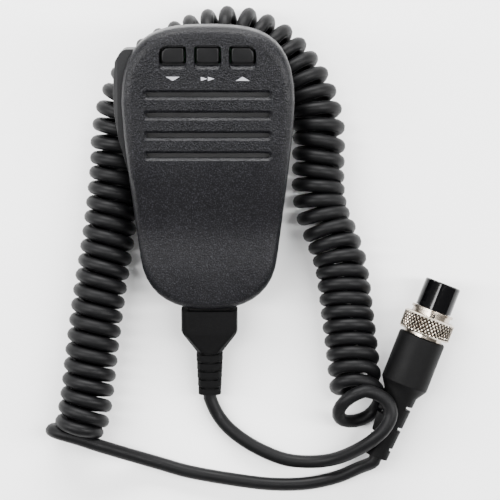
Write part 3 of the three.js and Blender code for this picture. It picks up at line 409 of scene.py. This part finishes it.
@dataclass(frozen=True)
class Finish:
    """One finish: its colours, its gloss and its relief."""

    name: str
    color: tuple[float, float, float]
    # The second colour, laid by the relief's flecks and by dust: painted glints on grain, marks and painted
    # groove shade on metal, the threads of the weave.
    fleck: tuple[float, float, float]
    roughness: tuple[float, float]
    metallic: float = 0.0
    coat: float = 0.0
    specular: float = 0.5
    relief: Relief = Relief.GRAIN
    scale: float = 1800.0
    depth: float = 0.00004
    wear_scale: float = 70.0
    fleck_share: float = 0.5
    scoop: float = 0.0
    groove_shade_attribute: str = ""

    def build(self, groups: EffectGroups) -> bpy.types.Material:
        """Make the material.

        Args:
            groups: The shared effects.

        Returns:
            The material.
        """
        material = bpy.data.materials.new(self.name)
        material.use_nodes = True
        tree = material.node_tree
        tree.nodes.clear()
        bench = NodeBench(tree)
        out = bench.add("ShaderNodeOutputMaterial")
        shader = bench.add("ShaderNodeBsdfPrincipled", in_Metallic=self.metallic, in_Coat_Weight=self.coat)
        shader.inputs["Specular IOR Level"].default_value = self.specular
        shader.inputs["Coat Roughness"].default_value = COAT_ROUGHNESS
        bench.link(shader.outputs[0], out.inputs[0])
        place = bench.add("ShaderNodeTexCoord").outputs["Object"]
        height, fleck = self._effect(bench, groups, place)
        wear = bench.add("ShaderNodeGroup", node_tree=groups.wear)
        wear.inputs["Scale"].default_value = self.wear_scale
        bench.link(place, wear.inputs["Vector"])
        # The relief's flecks: painted glints on grain, real marks on metal; the dust is real.
        share = bench.maths("MULTIPLY", fleck, self.fleck_share)
        share = bench.maths("ADD", share, bench.maths("MULTIPLY", wear.outputs["Dust"], DUST_SHARE))
        mix = bench.add("ShaderNodeMix", data_type="RGBA")
        mix.inputs["A"].default_value = (*self.color, 1.0)
        mix.inputs["B"].default_value = (*self.fleck, 1.0)
        # Painted shade in the knurl's grooves: darker the deeper the cut.
        if self.groove_shade_attribute:
            cut = bench.add("ShaderNodeAttribute", attribute_name=self.groove_shade_attribute)
            shade = bench.remap(cut.outputs["Fac"], GROOVE_SHADE_SPAN)
            share = bench.maths("MAXIMUM", share, shade)
        bench.link(share, mix.inputs["Factor"])
        bench.link(mix.outputs["Result"], shader.inputs["Base Color"])
        low, high = self.roughness
        rough = bench.remap(wear.outputs["Polish"], (0.0, 1.0, low, high))
        bench.link(rough, shader.inputs["Roughness"])
        bump = bench.add("ShaderNodeBump", in_Strength=1.0, in_Distance=1.0)
        relief = bench.maths("MULTIPLY", height, self.depth)
        if self.scoop:
            relief = bench.maths("ADD", relief, self._palm(bench, place))
        bench.link(relief, bump.inputs["Height"])
        bench.link(bump.outputs[0], shader.inputs["Normal"])
        LOG.debug("finish %s made", self.name)
        return material

    def _palm(self, bench: NodeBench, place: bpy.types.NodeSocket) -> bpy.types.NodeSocket:
        """Height of the shallow hollow across the lower half of the face.

        Args:
            bench: The material's bench.
            place: The coordinates to read.

        Returns:
            The height in metres, as a socket.
        """
        split = bench.add("ShaderNodeSeparateXYZ")
        bench.link(place, split.inputs[0])
        away = bench.maths("DIVIDE", bench.maths("ADD", split.outputs["Y"], PALM_MIDDLE), PALM_WIDTH)
        squared = bench.maths("MULTIPLY", away, away)
        bell = bench.maths("EXPONENT", bench.maths("MULTIPLY", squared, -1.0), 0.0)
        return bench.maths("MULTIPLY", bell, -self.scoop)

    def _effect(
        self, bench: NodeBench, groups: EffectGroups, place: bpy.types.NodeSocket
    ) -> tuple[bpy.types.NodeSocket, bpy.types.NodeSocket]:
        """Place the relief's group.

        Args:
            bench: The material's bench.
            groups: The shared effects.
            place: The coordinates to read.

        Returns:
            Its height and its fleck.
        """
        tree, height, fleck = {
            Relief.GRAIN: (groups.grain, "Height", "Glint fleck"),
            Relief.METAL: (groups.brushed, "Lines", "Marks"),
            Relief.WEAVE: (groups.weave, "Height", "Height"),
        }[self.relief]
        node = bench.add("ShaderNodeGroup", node_tree=tree)
        node.inputs["Scale"].default_value = self.scale
        bench.link(place, node.inputs["Vector"])
        return node.outputs[height], node.outputs[fleck]


FINISHES = {
    "grained_plastic": Finish(
        "grained_plastic",
        (0.0016, 0.0016, 0.0022),
        # The second colour is painted glints on the grain.
        (0.036, 0.036, 0.042),
        (0.36, 0.48),
        specular=0.15,
        scale=1700.0,
        depth=0.0002,
        scoop=0.003,
    ),
    "smooth_plastic": Finish(
        "smooth_plastic",
        (0.0012, 0.0012, 0.0014),
        (0.005, 0.005, 0.0056),
        (0.32, 0.44),
        specular=0.16,
        scale=3200.0,
        depth=0.00001,
    ),
    "bar_plastic": Finish(
        "bar_plastic",
        (0.0025, 0.0025, 0.003),
        (0.016, 0.016, 0.018),
        (0.36, 0.5),
        specular=0.25,
        scale=2600.0,
        depth=0.00003,
    ),
    "rubber": Finish(
        "rubber",
        (0.0008, 0.0008, 0.0009),
        (0.004, 0.004, 0.0043),
        (0.5, 0.64),
        specular=0.09,
        depth=0.00002,
    ),
    "cord_jacket": Finish(
        "cord_jacket",
        (0.0009, 0.0009, 0.0011),
        (0.0045, 0.0045, 0.0055),
        (0.44, 0.56),
        specular=0.14,
        scale=1500.0,
        depth=0.00002,
    ),
    "nickel": Finish(
        "nickel",
        (0.44, 0.39, 0.33),
        (0.3, 0.22, 0.15),
        (0.16, 0.3),
        metallic=1.0,
        relief=Relief.METAL,
        scale=1200.0,
        depth=0.000006,
    ),
    "knurled_nickel": Finish(
        "knurled_nickel",
        (0.56, 0.5, 0.42),
        # The second colour is the painted shade laid in the knurl's grooves.
        (0.014, 0.009, 0.006),
        (0.2, 0.34),
        metallic=1.0,
        relief=Relief.METAL,
        scale=1200.0,
        depth=0.000004,
        fleck_share=0.05,
        groove_shade_attribute="cut",
    ),
    "steel": Finish(
        "steel",
        (0.5, 0.5, 0.5),
        (0.36, 0.35, 0.34),
        (0.25, 0.42),
        metallic=1.0,
        relief=Relief.METAL,
        depth=0.000006,
    ),
    "gold": Finish(
        "gold",
        (0.8, 0.55, 0.2),
        (0.6, 0.38, 0.12),
        (0.18, 0.32),
        metallic=1.0,
        relief=Relief.METAL,
        depth=0.000005,
    ),
    "glossy_plastic": Finish(
        "glossy_plastic",
        (0.0012, 0.0012, 0.0014),
        (0.0035, 0.0035, 0.004),
        (0.05, 0.09),
        specular=0.12,
        coat=0.12,
        depth=0.000001,
    ),
    "board": Finish(
        "board",
        (0.012, 0.09, 0.03),
        (0.03, 0.16, 0.06),
        (0.3, 0.45),
        depth=0.00001,
    ),
    "cloth": Finish(
        "cloth",
        (0.003, 0.003, 0.0032),
        (0.009, 0.009, 0.0095),
        (0.8, 0.95),
        relief=Relief.WEAVE,
        depth=0.00008,
    ),
    "cream_plastic": Finish(
        "cream_plastic",
        (0.6, 0.55, 0.42),
        (0.7, 0.66, 0.55),
        (0.4, 0.55),
        depth=0.00001,
    ),
    "white_print": Finish(
        "white_print",
        (0.26, 0.26, 0.28),
        (0.4, 0.4, 0.42),
        (0.5, 0.65),
        depth=0.000005,
    ),
}


# ------------------------------------------------------------------ pieces
@dataclass
class Piece:
    """Shared ways to make, dress and hand over a piece."""

    materials: dict[str, bpy.types.Material]

    def dress(self, node: str, finish: str) -> None:
        """Give a CAD node its material.

        Args:
            node: The node's name.
            finish: The finish's name.
        """
        obj = bpy.data.objects[node]
        for entry in obj.material_slots:
            entry.material = self.materials[finish]
        if not obj.material_slots:
            obj.data.materials.append(self.materials[finish])

    def refined(
        self, node: str, finish: str, body: str, edge: float = 0.0, angle: float = 30.0
    ) -> bpy.types.Object:
        """Copy a CAD node, weld it, round its edges, and let the copy stand for it.

        Args:
            node: The node's name.
            finish: The finish's name.
            body: The body it rides on.
            edge: Width of the round on each sharp edge, in millimetres.
            angle: Edges sharper than this, in degrees, are sharp.

        Returns:
            The new piece.
        """
        mesh = bpy.data.objects[node].data.copy()
        welded = bmesh.new()
        welded.from_mesh(mesh)
        bmesh.ops.remove_doubles(welded, verts=welded.verts, dist=WELD)
        bmesh.ops.dissolve_degenerate(welded, dist=THIN, edges=welded.edges)
        bmesh.ops.dissolve_limit(welded, angle_limit=FLAT, verts=welded.verts, edges=welded.edges)
        welded.to_mesh(mesh)
        welded.free()
        piece = bpy.data.objects.new(f"{node}_skin", mesh)
        bpy.context.collection.objects.link(piece)
        activate(piece)
        if edge:
            bpy.ops.object.modifier_add(type="BEVEL")
            bevel = piece.modifiers[-1]
            bevel.width = edge * MM
            bevel.segments = 2
            bevel.angle_limit = math.radians(angle)
            bpy.ops.object.modifier_apply(modifier=bevel.name)
        bpy.ops.object.shade_smooth_by_angle(angle=math.radians(angle + SHADE_MARGIN))
        bpy.ops.object.modifier_add(type="WEIGHTED_NORMAL")
        piece.modifiers[-1].keep_sharp = True
        bpy.ops.object.modifier_apply(modifier=piece.modifiers[-1].name)
        self.finish(piece, finish, body)
        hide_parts(node)
        return piece

    def finish(self, piece: bpy.types.Object, finish: str, body: str) -> None:
        """Give a new piece its material and its body.

        Args:
            piece: The piece.
            finish: The finish's name.
            body: The body it rides on.
        """
        piece.data.materials.clear()
        piece.data.materials.append(self.materials[finish])
        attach(piece, body)
        LOG.info("%s rides on %s", piece.name, body)


@dataclass
class Studio:
    """Camera, floor and lights."""

    height: float = 0.7
    floor_size: float = 4.0
    floor_height: float = -0.0002
    floor_shade: float = 0.93
    floor_roughness: float = 0.7
    lens: float = 128.7
    sensor: float = 36.0
    far: float = 10.0
    aim_height: float = 0.01
    sky: float = 0.28
    centre: ClassVar[Vector] = Vector((15.62, -31.06, 0.0))

    def build(self) -> None:
        """Place the camera, the floor and the lights."""
        place = to_frame(self.centre)
        data = bpy.data.cameras.new("camera")
        data.lens = self.lens
        data.sensor_width = self.sensor
        data.clip_end = self.far
        camera = bpy.data.objects.new("camera", data)
        camera.location = (place.x, place.y, self.height)
        bpy.context.collection.objects.link(camera)
        bpy.context.scene.camera = camera
        self._floor()
        for spot in LAMPS:
            self._light(spot, place)
        world = bpy.data.worlds.new("studio")
        bpy.context.scene.world = world
        world.use_nodes = True
        sky = world.node_tree.nodes["Background"]
        sky.inputs[0].default_value = (1.0, 1.0, 1.0, 1.0)
        sky.inputs[1].default_value = self.sky

    def _floor(self) -> None:
        """Lay a plain pale floor."""
        deselect()
        bpy.ops.mesh.primitive_plane_add(size=self.floor_size, location=(0.0, 0.0, self.floor_height))
        floor = bpy.context.active_object
        floor.name = "floor"
        material = bpy.data.materials.new("floor")
        material.use_nodes = True
        shader = material.node_tree.nodes["Principled BSDF"]
        shader.inputs["Base Color"].default_value = (*[self.floor_shade] * 3, 1.0)
        shader.inputs["Roughness"].default_value = self.floor_roughness
        floor.data.materials.append(material)

    def _light(self, lamp: "Lamp", middle: Vector) -> None:
        """Hang a soft light that faces the object.

        Args:
            lamp: The light's size, power and place.
            middle: The point on the table that the places are measured from.
        """
        data = bpy.data.lights.new(lamp.name, "AREA")
        data.shape = "RECTANGLE"
        data.size, data.size_y = lamp.size
        data.energy = lamp.power
        light = bpy.data.objects.new(lamp.name, data)
        light.location = (middle.x + lamp.place[0], middle.y + lamp.place[1], lamp.place[2])
        aim = Vector((middle.x, middle.y, self.aim_height)) - light.location
        light.rotation_euler = aim.to_track_quat("-Z", "Y").to_euler()
        bpy.context.collection.objects.link(light)


@dataclass(frozen=True)
class Lamp:
    """One soft light: its name, place over the table, size and power."""

    name: str
    place: tuple[float, float, float]
    size: tuple[float, float]
    power: float


LAMPS = (
    Lamp("left_strip", (-0.62, 0.05, 0.72), (0.12, 1.1), 20.0),
    Lamp("right_strip", (0.62, 0.0, 0.72), (0.12, 1.1), 19.0),
    Lamp("back", (0.0, 0.85, 0.5), (1.1, 0.3), 34.0),
    Lamp("front", (0.0, -0.95, 0.6), (1.1, 0.3), 3.0),
)


@dataclass
class Cord(Piece):
    """The whole cord: the microphone's lead, the coil and the plug's lead."""

    radius: float = 2.55
    turn_radius: float = 7.8
    end_turn_radius: float = 10.1
    per_turn: int = 22
    step: float = 1.6
    first_turn: float = -0.04
    last_turn: float = 58.0
    end_turn_fade: tuple[float, float] = (0.42, 0.3)
    axis_step: float = 0.25
    reach: int = 8
    lift: float = 0.05
    section: int = 4
    axis: tuple[tuple[float, float], ...] = (
        (59.2, -91.2), (56.9, -85.6), (55.6, -75.5), (54.5, -66), (53.2, -56), (52, -45.5),
        (50.4, -35.5), (46.9, -25.4), (43.6, -17.3), (42, -8), (42, 4), (42, 16), (38.7, 29),
        (32.2, 39.6), (22.7, 48.5), (11, 52.8), (0.6, 51.7), (-9.7, 47.9), (-19.4, 43), (-27.3, 35.5),
        (-32.6, 25.7), (-35.3, 14.1), (-35.9, 2), (-37, -10), (-39.3, -28.1), (-42.5, -48.1),
        (-45.1, -68), (-47.7, -90), (-49.3, -98), (-50.4, -105),
    )
    # How far along the axis each of these turns has its top.
    turn_places: tuple[tuple[float, float], ...] = (
        (-1, -1), (0, 0), (0.5, 0.6), (0.65, 1.4), (1, 7.4), (2, 13.7), (3, 19.8), (9, 51.9), (17, 98),
        (21, 123), (27, 159.9), (30, 178.8), (42, 250.8), (57, 336.6), (58, 342.2), (59, 348.2),
    )
    lean: tuple[tuple[float, float], ...] = ((0.6, 37.0), (8, 29.0), (20, 16.0), (60, 10.0), (105, 0.0))

    def build(self) -> None:
        """Lay the cord."""
        coil = self._coil()
        start = local_to_frame(0.0, Body.boot_end, Body.boot_height) / MM - ROUTE_SHIFT
        lead = [
            start, start + Vector((0.0, -2.0, -0.4)), Vector((0.8, -90.6, 3.4)), Vector((2.9, -95.0, 2.6)),
            Vector((6.6, -99.8, 2.6)), Vector((12.8, -104.9, 2.6)), Vector((20.9, -109.5, 2.6)),
            Vector((29.8, -112.8, 2.6)), Vector((38.6, -113.6, 3.0)), Vector((47.4, -112.4, 6.0)),
            Vector((56.3, -108.2, 12.2)), Vector((63.2, -103.2, 16.6)), Vector((67.6, -98.6, 17.3)),
            Vector((69.6, -93.8, 17.3)), Vector((68.2, -89.0, 17.4)), Vector((64.2, -86.2, 17.3)),
        ]
        tail = [
            Vector((-46.2, -100.3, 16.8)), Vector((-43.8, -101.0, 12.8)), Vector((-43.6, -101.5, 8.2)),
            Vector((-46.0, -101.8, 4.2)), Vector((-50.5, -101.6, 2.65)), Vector((-56.0, -101.0, 3.4)),
            Vector((-60.0, -100.6, 6.0)), Vector((-60.9, -100.7, 9.4)), Vector((-58.4, -101.4, 12.2)),
            Vector((-54.5, -102.4, 13.2)), Vector((-50.0, -103.7, 13.2)), Vector((-43.5, -106.0, 12.2)),
            Vector((-36.5, -108.6, 8.8)), Vector((-28.0, -111.6, 4.7)), Vector((-18.5, -114.6, 2.65)),
            Vector((-9.1, -117.3, 2.6)), Vector((10.0, -120.7, 2.6)), Vector((25.0, -122.4, 2.6)),
            Vector((38.6, -122.0, 2.6)), Vector((50.0, -119.4, 2.8)), Vector((57.5, -116.0, 4.4)),
        ]
        tail += [Plug.point(Plug.relief_end + 2.0), Plug.point(Plug.relief_end + 0.2)]
        # The leads are smoothed with the first and last points of the coil, so nothing kinks.
        first = catmull_rom([*lead, *coil[:3]], self.step)
        last = catmull_rom([*coil[-3:], *tail], self.step)
        cut_a = max(i for i, p in enumerate(first) if (p - coil[0]).length < 1e-4)
        cut_b = min(i for i, p in enumerate(last) if (p - coil[-1]).length < 1e-4)
        points = first[:cut_a] + coil + last[cut_b + 1 :]
        for point in points:
            point.z = max(point.z, self.radius)
        path = [to_frame(p) for p in points]
        length = sum((b - a).length for a, b in zip(path, path[1:]))
        LOG.info("cord length %.4f m over %d points", length, len(path))
        curve = bpy.data.curves.new("cord", "CURVE")
        curve.dimensions = "3D"
        curve.bevel_depth = self.radius * MM
        curve.bevel_resolution = self.section
        curve.use_fill_caps = True
        spline = curve.splines.new("POLY")
        spline.points.add(len(path) - 1)
        for point, place in zip(spline.points, path):
            point.co = (*place, 1.0)
        spline.use_smooth = True
        cord = bpy.data.objects.new("cord", curve)
        bpy.context.collection.objects.link(cord)
        curve.materials.append(self.materials["cord_jacket"])
        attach(cord, "housing")
        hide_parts("mic_lead", "curly_cord", "plug_lead")
        self.cord, self.exit, self.length = cord, tuple(path[0]), length

    def declare(self, pieces: list[bpy.types.Object]) -> None:
        """Take the plug's pieces and do nothing with them.

        Args:
            pieces: Not used.
        """

    def _coil(self) -> list[Vector]:
        """Wind the coil along its axis.

        Returns:
            Points of the winding, from the plug's side to the far side.
        """
        axis = catmull_rom([Vector((x, y, 0.0)) for x, y in self.axis], self.axis_step)
        places = [0.0]
        for a, b in zip(axis, axis[1:]):
            places.append(places[-1] + (b - a).length)
        up = Vector((0.0, 0.0, 1.0))
        out: list[Vector] = []
        steps = round((self.last_turn - self.first_turn) * self.per_turn)
        index = 0
        for i in range(steps + 1):
            turns = self.first_turn + (self.last_turn - self.first_turn) * i / steps
            travelled = self._place_of(turns)
            while index < len(places) - 2 and places[index + 1] < travelled:
                index += 1
            share = (travelled - places[index]) / (places[index + 1] - places[index])
            centre = axis[index].lerp(axis[index + 1], share)
            low, high = max(index - self.reach, 0), min(index + self.reach + 1, len(axis) - 1)
            along = (axis[high] - axis[low]).normalized()
            side = along.cross(up)
            lean = math.radians(ramp(list(self.lean), travelled))
            rise = up * math.cos(lean) + along * math.sin(lean)
            start, span = self.end_turn_fade
            fade = 1 - smoothstep((turns - start) / span)
            spread = (self.end_turn_radius - self.turn_radius) * fade
            radius = self.turn_radius + spread
            height = self.radius + radius * math.cos(lean) + self.lift
            angle = math.tau * turns
            arm = rise * math.cos(angle) - side * math.sin(angle)
            out.append(centre + Vector((0.0, 0.0, height)) + arm * radius)
        return out

    def _place_of(self, turns: float) -> float:
        """Distance along the axis after this many turns.

        Args:
            turns: How many turns have been wound.

        Returns:
            The distance in millimetres.
        """
        for (n0, s0), (n1, s1) in zip(self.turn_places, self.turn_places[1:]):
            if turns <= n1:
                return s0 + (s1 - s0) * (turns - n0) / (n1 - n0)
        return self.turn_places[-1][1]


@dataclass
class Body(Piece):
    """The microphone's shells, keys, bar and boot."""

    rest_v: float = 35.4
    rear_depth: float = 15.0
    boot_end: float = -88.4
    boot_height: float = 0.8
    face: float = 11.0
    key_pitch: float = 12.9
    print_v: float = 35.3
    print_lift: float = 0.03
    # Half the single arrow's width and its height; each of the double arrow's length, half its
    # height and half the space between its two middles.
    arrow: tuple[float, float] = (2.6, 1.5)
    double_arrow: tuple[float, float, float] = (2.4, 0.75, 1.3)
    spring_keep: float = 0.66

    @classmethod
    def lift(cls) -> float:
        """Height of the microphone's own origin above the table.

        Returns:
            The height in millimetres.
        """
        return cls.rest_v * math.sin(TILT) + cls.rear_depth * math.cos(TILT)

    def build(self) -> None:
        """Dress the shells and everything that they hold."""
        self.refined("front_shell", "grained_plastic", "housing", edge=0.3)
        self.refined("rear_shell", "grained_plastic", "housing", edge=0.3)
        self.refined("cord_boot", "rubber", "housing", edge=0.3)
        bar = self.refined("ptt_bar", "bar_plastic", "ptt_bar", edge=0.5)
        for name in ("down", "fast", "up"):
            self.refined(f"key_{name}", "smooth_plastic", f"key_{name}", edge=0.25)
            self.dress(f"tact_switch_{name}", "smooth_plastic")
            self.dress(f"tact_plunger_{name}", "smooth_plastic")
        self._icons()
        self.dress("grille_cloth", "cloth")
        self.dress("circuit_board", "board")
        self.dress("cartridge_ring", "rubber")
        self.dress("hanger_stud", "nickel")
        for node in ("wire_connector", "ptt_plunger"):
            self.dress(node, "cream_plastic")
        for node in ("ptt_switch", "tone_switch", "tone_slider"):
            self.dress(node, "smooth_plastic")
        self._spring()
        steel = ["mic_cartridge", "board_screw_1", "board_screw_2", "hanger_screw", "ptt_pin"]
        screws = [f"case_screw_{i}" for i in range(1, 5)] + ["clamp_screw_1", "clamp_screw_2"]
        for node in [*steel, "cord_clamp", *screws]:
            self.dress(node, "steel")

    def _spring(self) -> None:
        """Dress the bar's spring as a welded copy with a mesh of its own."""
        spring = self.refined("ptt_spring", "steel", "housing")
        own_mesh(spring)

    def _icons(self) -> None:
        """Print a plain sign under each key: an arrow down, a double arrow and an arrow up."""
        arrow = ((-1.0, 0.5), (1.0, 0.5), (0.0, -0.5))
        wide, tall = self.arrow
        long, half, apart = self.double_arrow
        signs = {
            "down": [[(x * wide, y * tall) for x, y in arrow]],
            "fast": [[(-y * long + shift, x * half) for x, y in arrow] for shift in (-apart, apart)],
            "up": [[(-x * wide, -y * tall) for x, y in arrow]],
        }
        for i, (name, shapes) in enumerate(signs.items()):
            mesh = bpy.data.meshes.new(f"print_{name}")
            drawn = bmesh.new()
            for shape in shapes:
                middle = (i - 1) * self.key_pitch
                places = [(middle + x, self.print_v + y, self.face + self.print_lift) for x, y in shape]
                corners = [drawn.verts.new(local_to_frame(*place)) for place in places]
                face = drawn.faces.new(corners)
                face.normal_update()
                if face.normal.z < 0:
                    face.normal_flip()
            drawn.to_mesh(mesh)
            drawn.free()
            sign = bpy.data.objects.new(f"print_{name}", mesh)
            bpy.context.collection.objects.link(sign)
            self.finish(sign, "white_print", "housing")


@dataclass
class Plug(Piece):
    """The round plug on the cord's end."""

    tip: ClassVar[Vector] = Vector((90.2, -43.9, 0.0))
    end: ClassVar[Vector] = Vector((64.2, -111.0, 0.0))
    nut_height: float = 10.25
    nut_middle: float = 17.5
    dip: float = math.radians(1.8)
    relief_end: float = 71.8
    nut_start: float = 13.9
    nut_length: float = 7.2
    nut_radius: float = 10.1
    nut_bore: float = 8.65
    lip_bore: float = 7.85
    knurl_length: float = 6.2
    knurl_rows: int = 40
    knurl_round: int = 352
    knurl_depth: float = 0.5
    diamonds: int = 40
    diamond_length: float = 1.9
    knurl_edge: float = 0.5
    knurl_fade: float = 0.3
    knurl_power: float = 1.5
    nut_chamfer: float = 0.55
    nut_sharp: float = math.radians(24.0)
    bore_round: float = 0.15
    lip_length: float = 1.3

    @classmethod
    def along(cls) -> Vector:
        """Unit vector from the tip towards the cord.

        Returns:
            The unit vector.
        """
        flat = (cls.end - cls.tip).normalized() * math.cos(cls.dip)
        return Vector((flat.x, flat.y, -math.sin(cls.dip)))

    @classmethod
    def point(cls, distance: float) -> Vector:
        """A point on the plug's axis, in route millimetres, measured from its tip.

        Args:
            distance: How far from the tip.

        Returns:
            The point.
        """
        lift = math.sin(cls.dip) * cls.nut_middle
        return Vector((cls.tip.x, cls.tip.y, cls.nut_height + lift)) + cls.along() * distance

    def build(self) -> list[bpy.types.Object]:
        """Dress the plug.

        Returns:
            Every piece of it.
        """
        pieces = [
            self.refined("plug_boot", "rubber", "housing", edge=0.3),
            self.refined("plug_barrel", "nickel", "housing", edge=0.12),
            self.refined("plug_insert", "glossy_plastic", "housing", edge=0.08),
            self.refined("nut_washer", "nickel", "nut_washer", edge=0.08),
            self._nut(),
        ]
        for i in range(1, 9):
            self.dress(f"contact_{i}", "gold")
            pieces.append(bpy.data.objects[f"contact_{i}"])
        return pieces

    def _nut(self) -> bpy.types.Object:
        """Turn the coupling nut with a diamond knurl round it.

        Returns:
            The nut.
        """
        mesh = bpy.data.meshes.new("knurled_nut")
        made = bmesh.new()
        along = self.along()
        across = Vector((-along.y, along.x, 0.0)).normalized()
        third = along.cross(across)
        edge, rows = self.knurl_edge, self.knurl_rows
        outer = self.nut_radius - self.nut_chamfer
        lip = self.nut_length - self.lip_length
        profile = [
            (self.nut_bore, self.bore_round),
            (self.nut_bore + self.bore_round, 0.0),
            (outer, 0.0),
            (self.nut_radius, edge),
            *((self.nut_radius, edge + self.knurl_length * i / rows) for i in range(1, rows + 1)),
            (outer, self.nut_length),
            (self.lip_bore, self.nut_length),
            (self.lip_bore, lip),
            (self.nut_bore, lip),
        ]
        rings, cuts = [], []
        for radius, place in profile:
            ring = []
            for i in range(self.knurl_round):
                angle = math.tau * i / self.knurl_round
                cut = self._knurl(angle, place) if radius == self.nut_radius else 0.0
                cuts.append(cut / self.knurl_depth)
                arm = across * math.cos(angle) + third * math.sin(angle)
                point = self.point(self.nut_start + place) + arm * (radius - cut)
                ring.append(made.verts.new(to_frame(point)))
            rings.append(ring)
        for a, b in zip(rings, rings[1:] + rings[:1]):
            for i in range(self.knurl_round):
                j = (i + 1) % self.knurl_round
                made.faces.new((a[i], a[j], b[j], b[i]))
        bmesh.ops.recalc_face_normals(made, faces=made.faces)
        made.to_mesh(mesh)
        made.free()
        # The depth of the cut at each point, which sets the painted shade in the grooves.
        mesh.attributes.new("cut", "FLOAT", "POINT").data.foreach_set("value", cuts)
        nut = bpy.data.objects.new("knurled_nut", mesh)
        bpy.context.collection.objects.link(nut)
        activate(nut)
        bpy.ops.object.shade_smooth_by_angle(angle=self.nut_sharp)
        self.finish(nut, "knurled_nickel", "coupling_nut")
        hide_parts("coupling_nut")
        return nut

    def _knurl(self, angle: float, place: float) -> float:
        """Depth of the knurl's crossing grooves at a point of the nut's side.

        Args:
            angle: Angle round the nut.
            place: Distance from the nut's front face.

        Returns:
            The depth in millimetres.
        """
        turn = angle / math.tau * self.diamonds
        rise = place / self.diamond_length
        depths = []
        for share in (turn + rise, turn - rise):
            depths.append(abs(2 * (share % 1.0) - 1))
        start, fade = place - self.knurl_edge, self.knurl_fade
        ease = min(1.0, start / fade, (self.knurl_edge + self.knurl_length - place) / fade)
        return self.knurl_depth * max(depths) ** self.knurl_power * max(ease, 0.0)


def main() -> None:
    """Build the studio, the cord, the microphone and the plug, in that order."""
    logging.basicConfig(level=logging.INFO, format="%(name)s: %(message)s")
    Studio().build()
    groups = EffectGroups()
    materials = {name: finish.build(groups) for name, finish in FINISHES.items()}
    cord = Cord(materials)
    cord.build()
    Body(materials).build()
    cord.declare(Plug(materials).build())


if __name__ == "__main__":
    main()
